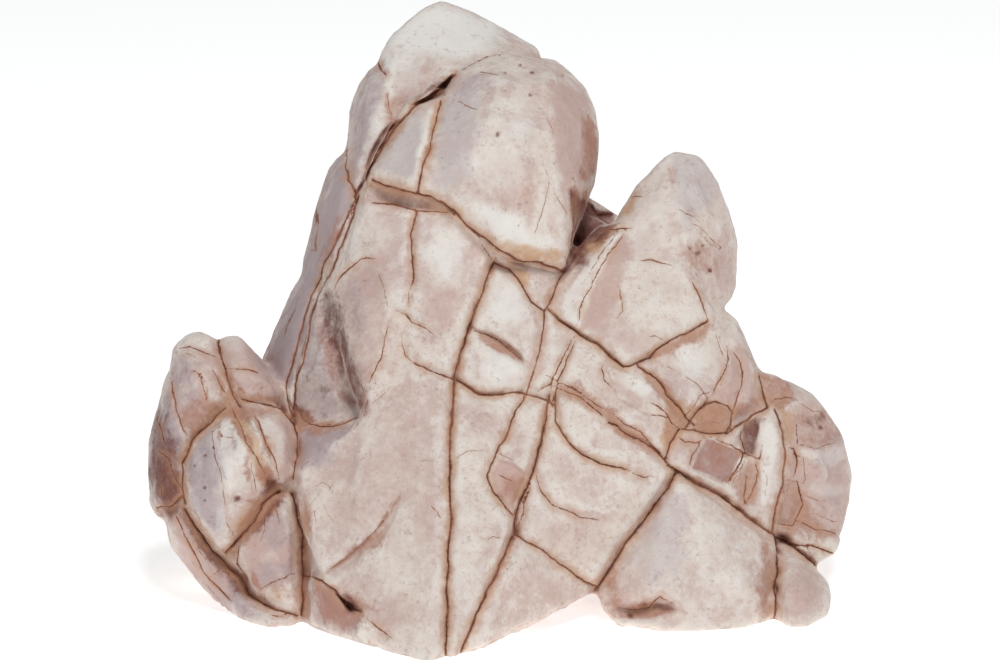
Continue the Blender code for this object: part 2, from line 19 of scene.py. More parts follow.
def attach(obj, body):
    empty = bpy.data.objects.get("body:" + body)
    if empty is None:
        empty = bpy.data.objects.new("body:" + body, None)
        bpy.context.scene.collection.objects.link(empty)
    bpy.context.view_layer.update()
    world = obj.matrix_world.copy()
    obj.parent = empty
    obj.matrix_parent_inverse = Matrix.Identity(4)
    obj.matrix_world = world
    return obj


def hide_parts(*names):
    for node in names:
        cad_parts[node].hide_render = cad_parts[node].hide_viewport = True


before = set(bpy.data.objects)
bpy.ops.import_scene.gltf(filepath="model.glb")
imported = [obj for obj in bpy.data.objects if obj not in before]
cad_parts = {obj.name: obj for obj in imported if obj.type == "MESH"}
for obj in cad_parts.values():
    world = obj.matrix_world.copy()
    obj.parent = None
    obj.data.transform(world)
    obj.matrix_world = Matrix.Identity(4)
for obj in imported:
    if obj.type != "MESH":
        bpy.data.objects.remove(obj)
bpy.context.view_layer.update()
log = logging.getLogger("sandstone")

MM = 0.001
Socket = bpy.types.NodeSocket
Sockets = bpy.types.bpy_prop_collection
Value = Socket | float | tuple

# Sizes of lumps are given as (how wide, how high, where in the noise they are read)
RELIEF = ((14, 0.5, 3.1), (6, 0.3, 17.7), (2.8, 0.18, 40.3))
# How the drawn lines waver, and where each direction is read
WAVER = ((8, 0.75, 5.5), (2.6, 0.35, 23.9), (1.1, 0.14, 63.1))
WAVER_SHIFTS = (0, 51.3, 97.1)
# How the edges of the stains waver, and where each direction is read
SMUDGE = ((11, 2.6, 8.1), (4, 1.3, 29.3), (1.6, 0.7, 47.9))
SMUDGE_SHIFTS = (0, 33.3)
# How the strength of the joints varies along them, and its limits
STRENGTH = ((5, 0.35, 71.7), (1.8, 0.2, 12.9))
STRENGTH_LIMITS = (0.4, 1.5)

# How squarely a place faces the eye where it starts to show, and where it shows fully
FACING = (0.02, 0.3)
CLEAR_OF_SKIN = 3.0
SIGHT_REACH = 200.0
SIGHT_ROUNDS = 6
# How much shown a place is where it counts as barely shown, hidden, seen, and wholly shown
BARELY, HIDDEN, SEEN, WHOLLY = 0.02, 0.1, 0.3, 0.98

JOINT_REACH = 8.0
RUST_REACH = 3.2
# The strength of a joint's ends, of a fine one's, and the length over which it grows to full
END_STRENGTH, FINE_END_STRENGTH, END_LENGTH = 0.9, 0.3, 6
LEAST_LINE = 0.05
# A plane cuts a side that lies this steep to it, and is weaker past this share of its reach
PLANE_SLOPE = (0.3, 0.6)
PLANE_CORE = 0.7
PLANE_WAVER = 1.6
# From and to which distance, in half line widths, a joint's mark is lifted off the skin
LIFTED = (2.0, 5.0)
FAR_AWAY = 9.0
# Where the joints are pushed in along the eye's rays, and not along the skin's normals
PUSHED = (0.02, 0.25)

HOLLOW_WAVER = 7.0
HOLLOW_SHIFT = 0.5
HOLLOW_STARTS = (3.3, 61.7)
HOLLOW_EDGE = 0.4
RIDGE_ENDS = (-3, 6)
PIT_REACH = 1.6
SCATTERED_SEED = 11
SCATTERED_RADII = (1.2, 2.4)
SCATTERED_DEPTH = 0.45

# What counts as carved, and how strongly the other places are thinned: the plain ones that
# the view hides, the plain ones that it shows, and the carved ones that it hides
CARVED_DEPTH, CARVED_ROUNDS, CARVED_EDGE = 0.25, 3, 0.05
THINNING = (1.0, 0.6, 0.4)
THINNING_PULL = 0.02

SHADE_SEED = 5
SHADE_RAYS = 14
SHADE_REACH = 14.0
SHADE_START = 0.4
SHADE_ROUNDS = 2
TINY = 1e-6
EDGE_ROUNDS, EDGE_GAIN = 3, 8

# A patch that is softer than this wavers fully
CRISP = 3.5
# The painted shade of the pits, and the shares of their radius between which it fades
PIT_SHADE = 0.8
PIT_SHADE_REACH = (0.4, 1.5)
TINT_SPOT_EDGE = (0.35, 1.3)
SIDE_STEP = 7.7
SIDE_SOFTNESS = 0.35

NOISE_MEAN = 0.5
NOISE_ROUGHNESS = 0.6


def lumps(places: np.ndarray, size: float, start: float) -> np.ndarray:
    """Smooth noise, about -1 to 1, whose lumps are this many millimetres wide."""
    spots = (places / size + start).tolist()
    return np.fromiter(map(noise.noise, spots), float, len(spots))


def waves(places: np.ndarray, sizes: tuple, shift: float = 0, level: float = 0) -> np.ndarray:
    """Lumps of several sizes, on top of a level."""
    return sum((height * lumps(places, size, start + shift) for size, height, start in sizes), level)


def smooth_step(value: np.ndarray, low: float, high: float) -> np.ndarray:
    """0 below low, 1 above high, and an even curve between them."""
    share = np.clip((value - low) / (high - low), 0, 1)
    return share * share * (3 - 2 * share)


@dataclass(frozen=True)
class FrontView:
    """The camera's view, and how it shows the stone.

    A point of it is (across, up), in millimetres on a sheet that stands at the centre.
    """

    centre: tuple = (-0.26, -4.84, 104.6)
    tilt: float = math.radians(14)
    eye_distance: float = 1600
    width: float = 400

    @property
    def away(self) -> np.ndarray:
        """The direction in which the eye looks."""
        return np.array((0, math.cos(self.tilt), -math.sin(self.tilt)))

    @property
    def above(self) -> np.ndarray:
        """The direction that the view shows as up."""
        return np.array((0, math.sin(self.tilt), math.cos(self.tilt)))

    @property
    def right(self) -> np.ndarray:
        """The direction that the view shows as right."""
        return np.array((1.0, 0, 0))

    @property
    def eye(self) -> np.ndarray:
        """Where the eye is."""
        return np.array(self.centre) - self.away * self.eye_distance

    def spots(self, places: np.ndarray) -> np.ndarray:
        """Finds where the view shows each place.

        Args:
            places: The places in space.

        Returns:
            An (across, up) point for each place.
        """
        apart = places - np.array(self.centre)
        spread = 1 + apart @ self.away / self.eye_distance
        return np.column_stack((apart @ self.right, apart @ self.above)) / spread[:, None]

    def rays(self, places: np.ndarray) -> np.ndarray:
        """The directions in which the eye sees the places."""
        ways = places - self.eye
        return ways / np.linalg.norm(ways, axis=1)[:, None]

    def on_sheet(self, offsets: np.ndarray) -> np.ndarray:
        """The steps in space of these (across, up) steps."""
        return offsets[:, :1] * self.right + offsets[:, 1:] * self.above


@dataclass(frozen=True)
class Cut:
    """How a kind of joint is worn into the stone.

    core is half the width of its dark line. The groove has that half width and depth. The stone
    rounds down to the joint over the brow's width, by its depth. rust is how much it stains.
    """

    core: float
    groove_width: float
    groove_depth: float
    brow_width: float
    brow_depth: float
    rust: float


class Wear(Enum):
    """The kinds of joints. A bare one has hardly any rust."""

    BARE = Cut(0.3, 1.1, 0.9, 4.6, 1.0, 0.2)
    OPEN = Cut(0.36, 1.2, 1.05, 5.0, 1.25, 0.85)
    WORN = Cut(0.29, 1.1, 0.75, 4.6, 1.0, 0.65)
    FINE = Cut(0.2, 1.0, 0.45, 4.0, 0.6, 0.5)
    HAIR = Cut(0.12, 0.9, 0.2, 3.0, 0.2, 0.25)


@dataclass(frozen=True)
class Joint:
    """A joint that the front view shows as a line."""

    wear: Wear
    line: tuple


@dataclass(frozen=True)
class JointPlane:
    """A joint that cuts the sides that the front view doesn't show."""

    wear: Wear
    point: tuple
    normal: tuple
    reach: float


class Tint(Enum):
    """The colours of the stains, and of painted shade in the umber one, by the name of the mask that
    carries each.
    """

    MAUVE = "mauve"
    PINK = "pink"
    RUST = "rust"
    OCHRE = "ochre"
    PALE = "pale"
    LILAC = "lilac"
    UMBER = "umber"


@dataclass(frozen=True)
class TintSpot:
    """A tinted spot of the front view, drawn as an ellipse that turns to the left by turn degrees. Most
    are stains; some umber ones are painted shade.

    wide and high are half of its size.
    """

    tint: Tint
    across: float
    up: float
    wide: float
    high: float
    strength: float
    turn: float = 0


@dataclass(frozen=True)
class Patch:
    """A tinted face of the front view, with an outline whose edge is this soft. Most are stains; some
    umber ones are painted shade, and some mauve ones partly.
    """

    tint: Tint
    strength: float
    soft: float
    outline: tuple


@dataclass(frozen=True)
class Ridge:
    """A crest that stands out, and falls off over these widths to the left and right of its line."""

    height: float
    left: float
    right: float
    line: tuple


@dataclass(frozen=True)
class Pit:
    """A small hole of the front view."""

    across: float
    up: float
    radius: float
    depth: float


@dataclass(frozen=True)
class Hollow:
    """A part of the front view that lies deeper than what is around it, or stands out if below 0."""

    depth: float
    outline: tuple
    soft: float = 1.0


# The kinds and the tints by their bare names, for the drawings below
BARE, OPEN, WORN, FINE, HAIR = Wear
MAUVE, PINK, RUST, OCHRE, PALE, LILAC, UMBER = Tint

# How wide the stains of the sides are, where in the noise they start, and their strength
SIDE_TINTS = {
    MAUVE: (34, 0.0, 0.7), PINK: (26, -0.05, 0.7), RUST: (22, 0.2, 0.6), OCHRE: (18, 0.3, 0.6),
    PALE: (30, 0.0, 0.7), UMBER: (16, 0.5, 0.6), LILAC: (28, 0.0, 0.6),
}

FRONT_JOINTS = (
    # Between the crown and the dome, and down behind the wedge
    Joint(OPEN, ((-18, 103), (-21, 100), (-24, 96), (-30, 92.5), (-34, 91), (-38, 86.5), (-42, 82),
                 (-48, 73), (-52, 66), (-55, 59), (-58, 54.5))),
    Joint(HAIR, ((-18, 103), (-12, 107), (-5, 110.5), (5, 111.5))),
    Joint(WORN, ((-49, 109), (-47.5, 106), (-45.5, 103))),
    Joint(FINE, ((-43, 99), (-45, 95), (-44.5, 90), (-42.5, 86))),
    Joint(OPEN, ((-61, 74), (-61.5, 67), (-60.5, 61), (-58, 56.5), (-57, 53))),
    Joint(WORN, ((-23.5, 93), (-25.5, 85), (-28, 75), (-30.5, 67), (-33, 56))),
    Joint(OPEN, ((-51, 61.5), (-45, 59), (-38, 57), (-33, 55.5), (-28, 54.5), (-22, 51.5), (-17, 47.5),
                 (-12, 42), (-5, 37.5), (-1, 33), (5, 30.5), (10, 28.5), (16, 28), (22, 26),
                 (25, 24.5))),
    Joint(FINE, ((-53, 52), (-45, 51.5), (-38, 50.2), (-33, 49), (-25, 48.5), (-18, 47))),
    # Faint lines of the dome
    Joint(HAIR, ((-20, 94), (-14, 91), (-7, 89))),
    Joint(HAIR, ((-11, 105), (-5, 104), (0, 103))),
    Joint(HAIR, ((17, 89), (20, 84), (22, 79))),
    Joint(HAIR, ((18, 66), (19.5, 60), (18, 52), (13, 38))),
    Joint(HAIR, ((20, 60), (25, 50), (28, 44))),
    Joint(HAIR, ((28, 66), (30, 60), (28, 50))),
    Joint(FINE, ((29, 57), (30, 50), (29, 42), (28, 34), (26, 26))),
    # The flank's two long joints
    Joint(BARE, ((-57, 56), (-58, 52), (-61, 46), (-64, 38.5), (-67, 33.5), (-70, 28), (-72, 22),
                 (-75, 16), (-77, 10), (-78.5, 4), (-81, -5), (-83, -13), (-85.5, -20), (-85.5, -25),
                 (-84, -31), (-83, -34))),
    Joint(BARE, ((-56, 55), (-59, 46), (-63, 35), (-66, 28), (-69, 22), (-72, 16), (-74.5, 10),
                 (-76, 4), (-77, -3), (-79, -12), (-81, -18), (-82, -24), (-83, -31))),
    Joint(FINE, ((-72, 58), (-73, 50), (-73, 40), (-74, 33), (-78, 33))),
    Joint(HAIR, ((-80, 12), (-84, 5), (-88, -4))),
    # The hollow beside the shoulder
    Joint(HAIR, ((-56, -18), (-53.5, -27), (-54, -34), (-58, -38), (-62, -41))),
    Joint(FINE, ((-82, -29), (-79, -35), (-72, -38), (-62, -36), (-55, -33))),
    Joint(FINE, ((-66, 18), (-64, 22), (-60, 26), (-55, 30), (-48, 30))),
    Joint(HAIR, ((-50, 30), (-49, 25), (-46, 18), (-45, 10))),
    Joint(FINE, ((-44, 5), (-46, -2), (-48, -11), (-53, -22))),
    # The body
    Joint(WORN, ((-34, 48.5), (-35.5, 40), (-35, 30), (-35, 20))),
    Joint(FINE, ((-35, 20), (-36.5, 15), (-36, 7))),
    Joint(FINE, ((-42, 9), (-38, 7), (-35, 4), (-30, 2), (-26, -1))),
    Joint(FINE, ((-39, 0), (-38, -8.5), (-34, -12))),
    Joint(WORN, ((-34, -12), (-28, -15), (-23, -17), (-18, -18.5))),
    Joint(FINE, ((-8, 37), (-5.5, 33), (-2.5, 28.5))),
    Joint(FINE, ((-1, 32.5), (-2.5, 28.5))),
    Joint(WORN, ((-2.5, 28.5), (3, 26), (7, 22), (10, 17), (13, 12), (17, 9))),
    Joint(OPEN, ((-2.5, 28.5), (-5, 22), (-8, 15), (-11, 7), (-13, 0), (-15.5, -7), (-18, -18),
                 (-19, -27), (-19.5, -35), (-20, -45), (-20, -60), (-19.5, -75), (-21, -90),
                 (-21, -105), (-22, -130))),
    Joint(OPEN, ((-18, -18.5), (-14, -21), (-10, -24), (-6, -25), (0, -24.5))),
    Joint(WORN, ((0, -24.5), (5, -23.8), (10, -24), (15, -26), (20, -28))),
    Joint(FINE, ((-12, 2), (-5, -1), (0, -4), (6, -8), (10, -12))),
    Joint(WORN, ((26, 25), (23, 20), (20, 13), (18, 8), (17, 0), (16, -8), (13.5, -15), (11, -24))),
    Joint(WORN, ((11, -24), (7, -30), (4, -38), (0, -45), (-3, -52), (-5.5, -57), (-3, -63), (1, -68),
                 (5, -73))),
    Joint(HAIR, ((-18, -50), (-13, -47.5), (-6, -47))),
    Joint(FINE, ((-1, -47), (5, -51))),
    Joint(FINE, ((-3, -56), (7, -60))),
    # The long dark joint right of the centre, and its branch to the foot
    Joint(FINE, ((30, -1), (27, -6), (24, -12), (21, -19), (19.5, -26))),
    Joint(FINE, ((30, -4), (27, -10), (24, -17), (22, -24), (20, -32))),
    Joint(OPEN, ((19.5, -26), (18, -36), (16, -45), (14, -52), (11, -60), (8, -68), (6, -74), (6, -80),
                 (3, -86), (0, -93), (-5, -103), (-9, -112), (-16, -128))),
    Joint(FINE, ((12, -60), (10, -68), (9, -74), (6, -80))),
    Joint(WORN, ((22, -25), (22, -35), (25, -41), (29, -45), (33, -49), (40, -52), (50, -55))),
    Joint(FINE, ((50, -55), (58, -58), (62, -57))),
    Joint(FINE, ((14, -55), (16, -63), (20, -68), (26, -71), (33, -74), (42, -75))),
    Joint(WORN, ((7, -81), (15, -86), (22, -91), (30, -97), (38, -101.5))),
    Joint(HAIR, ((4, -88), (3, -97))),
    Joint(HAIR, ((7, -96), (14, -92))),
    # The slab and the foot
    Joint(HAIR, ((-41, -64), (-44, -70), (-48, -77), (-54, -83.5), (-62, -90), (-70, -95.5))),
    Joint(HAIR, ((-30, -66), (-26, -71), (-21, -78))),
    Joint(WORN, ((-78, -97), (-71, -99), (-66, -103), (-62, -108), (-55, -112))),
    Joint(FINE, ((-55, -112), (-50, -117), (-42, -123))),
    # The peak
    Joint(FINE, ((51, 54), (57.5, 54.5))),
    Joint(FINE, ((39, 40), (45, 41.5), (50, 42), (55, 41.5))),
    Joint(FINE, ((50, 41), (45, 34), (40, 26), (36, 18), (32, 10), (30.5, 2))),
    Joint(HAIR, ((47, 41), (42, 34), (37, 26), (33, 19))),
    Joint(FINE, ((54, 29), (60, 29.5), (69, 27))),
    Joint(FINE, ((76, 22), (79, 17), (81, 12), (83, 6))),
    Joint(OPEN, ((20, 9), (24, 5), (27, 3), (31, 0), (36, -3), (42, -7), (45, -10), (49, -13.5))),
    Joint(WORN, ((49, -13.5), (54, -12), (60, -10), (62, -7), (68, -3), (75, 0), (83, 5))),
    Joint(HAIR, ((75, 45), (82, 40), (90, 33))),
    Joint(HAIR, ((70, 50), (76, 47), (80, 45))),
    Joint(HAIR, ((80, 38), (86, 35), (90, 32))),
    Joint(FINE, ((46, 20), (48.5, 14), (49, 9), (46, 5))),
    # The blocks under the peak
    Joint(WORN, ((55, -13), (60, -16), (64, -20), (67, -25), (71, -29), (74, -33), (77, -37))),
    Joint(HAIR, ((71, -15), (75, -18), (80, -22), (83, -26), (78, -32))),
    Joint(FINE, ((91, -5), (91, -11), (89, -17), (86, -22), (84, -26))),
    Joint(FINE, ((92, -6), (95.5, -11), (97, -16), (96, -22), (94, -28), (93, -32))),
    Joint(WORN, ((74, -38), (78, -32), (82, -28.5), (86, -27), (91, -29), (93, -32), (92, -37),
                 (90, -40), (84, -40.5), (78, -39.5), (73, -38))),
    Joint(WORN, ((107, -30), (101, -33), (95, -37), (90, -40.5))),
    Joint(OPEN, ((103, -17), (105, -24), (107, -30))),
    Joint(FINE, ((42, -11), (40.5, -14), (42, -19), (46, -23))),
    Joint(HAIR, ((50, -17), (54, -20))),
    Joint(FINE, ((59, -27), (63, -29), (66, -32), (69, -36), (73, -38))),
    Joint(FINE, ((58, -32), (65, -33.5), (70, -36))),
    # The long joint that falls to the right, with its rusty band
    Joint(HAIR, ((16, -16), (22, -19), (28, -21), (34, -25))),
    Joint(FINE, ((24, -20), (30, -23), (38, -28), (43, -31))),
    Joint(FINE, ((14, -24), (20, -21), (25, -23), (30, -25), (35, -28), (40, -32), (43, -36))),
    Joint(WORN, ((43, -36), (47, -37), (52, -41), (57, -43.5), (61, -46), (66, -51), (70, -55))),
    Joint(FINE, ((43, -31), (50, -36), (56, -40), (62, -46), (67, -50))),
    Joint(OPEN, ((67, -53), (70, -55), (75, -58), (82, -62), (88, -65), (98, -73), (105, -78),
                 (110, -81), (115, -84), (120, -88), (126, -93))),
    # The small blocks and the claw above that joint
    Joint(WORN, ((72, -38), (68, -44), (66, -50))),
    Joint(FINE, ((90, -61), (94, -55), (97, -48))),
    Joint(FINE, ((99, -53), (98, -65), (97, -71))),
    Joint(FINE, ((83, -41.5), (90, -44), (97, -47.5), (95, -54), (91, -61))),
    Joint(FINE, ((81, -43), (77, -49), (75, -55))),
    Joint(HAIR, ((93, -56), (89, -59), (89, -62))),
    Joint(FINE, ((102, -49), (103, -56), (101, -64), (97, -71))),
    Joint(FINE, ((97, -36), (96, -42), (98, -48), (104, -50), (105, -44))),
    Joint(HAIR, ((103, -33), (101, -39), (102, -44))),
    # The far block
    Joint(FINE, ((113, -45), (118, -46), (119, -51), (117, -58))),
    Joint(HAIR, ((112, -64), (116, -63))),
    Joint(HAIR, ((118, -33), (119, -44), (126, -46.5), (137, -43))),
    Joint(HAIR, ((120, -64), (127, -67), (133, -66))),
    Joint(HAIR, ((122, -71), (130, -74), (136, -76))),
    # Hairlines of the rusty knot
    Joint(HAIR, ((86, -22), (80, -25), (76, -31), (71, -36))),
    Joint(HAIR, ((78, -33), (84, -36), (92, -36))),
    # The joints around the far block
    Joint(WORN, ((110, -31), (113.5, -40), (114, -50), (113, -60), (110, -70), (109, -80))),
    Joint(FINE, ((114, -59), (119, -59), (121, -68), (117, -77), (110, -76))),
    Joint(WORN, ((112, -82), (118, -85), (125, -85), (133, -88))),
    Joint(FINE, ((118, -75), (125, -78), (136, -81))),
    Joint(FINE, ((124, -81), (123, -86), (125, -90))),
    # The lower block and the lower lobe
    Joint(OPEN, ((70, -56), (67, -62), (62, -69), (55, -78), (50, -85), (45, -93), (38, -103))),
    Joint(OPEN, ((110, -81), (111, -90), (110, -105), (110, -116))),
    Joint(FINE, ((47, -110), (55, -111), (60, -110), (64, -105), (69, -108))),
    # The left lobe: the upper blocks
    Joint(FINE, ((-130, -6), (-124, -5.5), (-118, -8), (-113, -10))),
    Joint(WORN, ((-113, -2), (-112, -8), (-110, -15), (-107, -25), (-104, -30))),
    Joint(FINE, ((-110, -14), (-100, -15), (-95, -16))),
    Joint(FINE, ((-115, -14), (-112, -21), (-108, -26))),
    Joint(HAIR, ((-120, -15), (-117, -21))),
    Joint(FINE, ((-132, -17), (-130, -28), (-127, -38), (-124, -43))),
    Joint(FINE, ((-137, -30), (-136, -38), (-133, -47))),
    # The round block and the joints around it
    Joint(OPEN, ((-110, -30), (-117, -37), (-123, -43), (-127, -52))),
    Joint(WORN, ((-127, -52), (-127.5, -60), (-126, -68))),
    Joint(OPEN, ((-126, -70), (-122, -77), (-115, -87), (-108, -94), (-103, -98))),
    Joint(OPEN, ((-103, -98), (-101, -104), (-95, -108), (-90, -111), (-81, -113))),
    Joint(FINE, ((-108, -28), (-105.5, -34), (-102, -42), (-98, -49), (-93, -58))),
    Joint(FINE, ((-99, -31), (-95.5, -38), (-92.5, -45), (-90, -52), (-88.5, -60))),
    Joint(HAIR, ((-113, -36), (-111, -44))),
    Joint(HAIR, ((-115, -45), (-112, -55), (-110, -67), (-109, -76), (-106, -83))),
    Joint(HAIR, ((-100, -50), (-98, -60), (-98, -67))),
    Joint(HAIR, ((-110, -66), (-105, -68), (-97, -67))),
    Joint(WORN, ((-103, -27), (-97, -28), (-88, -30), (-83, -36), (-81, -42), (-81, -50), (-83, -58))),
    Joint(OPEN, ((-88, -63), (-95, -68), (-98, -75), (-105, -83), (-110, -88))),
    Joint(FINE, ((-139, -45), (-133, -50), (-130, -58), (-127, -64))),
    Joint(FINE, ((-136, -58), (-135, -68))),
    Joint(WORN, ((-137, -70), (-131, -69), (-127, -65))),
    # The lower blocks of the lobe
    Joint(FINE, ((-105, -84), (-105, -92), (-101, -98))),
    Joint(FINE, ((-97, -103), (-91, -99.5), (-86, -98), (-81, -95.5))),
    Joint(OPEN, ((-83, -64), (-81, -72), (-79, -80), (-79, -95), (-79, -113))),
    Joint(HAIR, ((-125, -80), (-117, -92), (-112, -100))),
    # Thin lines of the whole lobe
    Joint(HAIR, ((-105, -15), (-103, -22), (-101, -28))),
    Joint(HAIR, ((-111, -41), (-104, -42))),
    Joint(FINE, ((-124, -14), (-120, -17), (-118, -23), (-117, -30))),
    Joint(HAIR, ((-122, -15), (-119, -20))),
    Joint(HAIR, ((-129, -7), (-123, -9), (-120, -10))),
    Joint(HAIR, ((-101, -21), (-96, -22), (-94, -21))),
    Joint(HAIR, ((-116, -36), (-114, -46), (-113, -52))),
    Joint(FINE, ((-91, -66), (-89, -72), (-88, -78))),
    Joint(HAIR, ((-95, -70), (-94, -78), (-96, -84))),
    Joint(HAIR, ((-99, -76), (-98, -82))),
    Joint(FINE, ((-130.5, -70), (-125, -83), (-118, -96), (-106, -109))),
    Joint(HAIR, ((-134, -78), (-128, -92), (-120, -103))),
    Joint(HAIR, ((-116, -98), (-112, -95), (-108, -96), (-108, -102))),
    Joint(HAIR, ((-120, -100), (-114, -104), (-112, -108))),
    Joint(HAIR, ((-100, -108), (-98, -113))),
    Joint(HAIR, ((-94, -112), (-88, -114), (-84, -112))),
    # Scratches of the slab beside the lobe
    Joint(HAIR, ((-75, -62), (-71, -60), (-68, -62), (-70, -66))),
    Joint(HAIR, ((-73, -66), (-74, -72), (-73, -76))),
    Joint(HAIR, ((-69, -73), (-66, -77))),
    Joint(HAIR, ((-52, -28), (-47, -25), (-43, -21))),
    Joint(HAIR, ((-80, -56), (-77, -52), (-74, -50))),
    # Thin lines of the body and of the blocks on the right
    Joint(HAIR, ((3, -83), (-3, -81), (-7, -84))),
    Joint(HAIR, ((-11, -64), (-9, -61))),
    Joint(HAIR, ((40, -14), (44, -17), (47, -16))),
    Joint(HAIR, ((71, -15), (67, -13))),
    Joint(FINE, ((70, -40), (74, -43.5), (79, -44), (83, -41.5))),
    Joint(HAIR, ((98, -49), (96, -55), (92, -62))),
    Joint(HAIR, ((104, -52), (107, -58), (106, -66))),
    Joint(HAIR, ((119, -27), (125, -31), (131, -31), (137, -38))),
    Joint(FINE, ((107, -30), (110, -26), (116, -26), (119, -27))),
    Joint(HAIR, ((115, -47), (121, -50), (122, -58), (120, -63))),
    Joint(HAIR, ((57, -2), (62, -1), (67, -4))),
    Joint(HAIR, ((86, 0), (89, -8), (90, -13))),
    Joint(HAIR, ((52, -43), (56, -42), (60, -44))),
)

HOLLOWS = (
    # The dark gap between the crown and the dome, and its shallower end beside the wedge
    Hollow(8, ((-35, 91.5), (-31, 93.5), (-26, 97.5), (-19, 103), (-21, 98), (-23, 94.5), (-26, 93.6),
               (-30, 92)), 1.6),
    Hollow(4, ((-38, 86), (-42, 86), (-47, 80), (-52, 72), (-55.5, 62), (-57, 56), (-54.5, 58),
               (-51.5, 64), (-48, 69.5), (-44, 75), (-40, 82)), 2.4),
    # Under the wedge and the dome
    Hollow(2.0, ((-52, 61), (-45, 59), (-38, 57), (-33, 55.8), (-28, 54.8), (-22, 52), (-17, 48),
                 (-18, 47.3), (-25, 48.7), (-33, 49.4), (-45, 51.8), (-54, 52.3))),
    Hollow(1.4, ((-12, 42), (-5, 37.5), (-1, 33), (5, 30.5), (16, 28), (25, 24.5), (20, 24), (8, 27),
                 (-1, 31), (-7, 36))),
    # Between the dome and the peak
    Hollow(3.6, ((29.5, 50), (33, 57), (37.5, 51), (39, 48), (47, 48.5), (45, 44), (40, 41), (36, 38),
                 (32, 32), (26, 25), (28, 33), (29, 42)), 2.0),
    # The shadowed side of the shoulder
    Hollow(2.6, ((-72, 15), (-68, 17), (-63, 6), (-60, -4), (-56.5, -16), (-54.5, -27), (-56, -33),
                 (-64, -27), (-68, -17), (-71, -5), (-73, 4)), 3.0),
    Hollow(1.6, ((-12, 2.5), (-4, 0), (2, -3), (8, -7.5), (10.5, -12), (7, -12), (0, -9),
                 (-6, -4)), 1.6),
    Hollow(1.6, ((-40, -64), (-44, -71), (-52, -81.5), (-62, -90.5), (-70, -96), (-60, -93.5),
                 (-52, -88), (-45, -80), (-41, -72)), 1.6),
    Hollow(4, ((-66, -104), (-60, -107), (-54, -111), (-60, -111.5))),
    Hollow(1.6, ((-4, -57), (-1, -50), (5, -52), (11, -56), (8, -64), (4, -72), (-2, -64))),
    # Among the blocks on the right
    Hollow(1.8, ((83, -41.5), (97, -47.5), (91, -61.5), (76, -55)), 1.6),
    Hollow(2.6, ((97, -36), (102, -33.5), (104, -38), (102, -49), (97, -50), (95, -42)), 1.4),
    Hollow(2.2, ((103.5, -17), (112, -19), (116, -25), (113, -30), (107.5, -30), (105, -23)), 2.0),
    Hollow(2.4, ((46, -110), (56, -109.5), (66, -106.5), (70, -110.5), (60, -114.5), (49, -115)), 1.8),
    Hollow(1.2, ((118, -33), (130, -31), (137, -41), (126, -46), (119, -44)), 0.8),
    Hollow(1.0, ((114, -60), (119, -59), (121, -68), (117, -77), (111, -77)), 0.8),
    Hollow(1.2, ((91, -6), (95.5, -11), (97, -17), (95, -26), (91, -28), (93, -16)), 0.7),
    # The parts that stand out
    Hollow(-1.4, ((42, -12), (50, -15), (60, -20), (68, -29), (75, -36), (69, -37), (58, -32),
                  (46, -26))),
    Hollow(-1.2, ((20, 9), (21, 17), (28, 25), (38, 37), (45, 41), (49, 40), (39, 26), (33, 13),
                  (30.5, 2), (25, 5))),
    Hollow(-1.2, ((79, -31), (85, -28), (91, -30), (92, -36), (89, -39.5), (78, -38.5))),
)

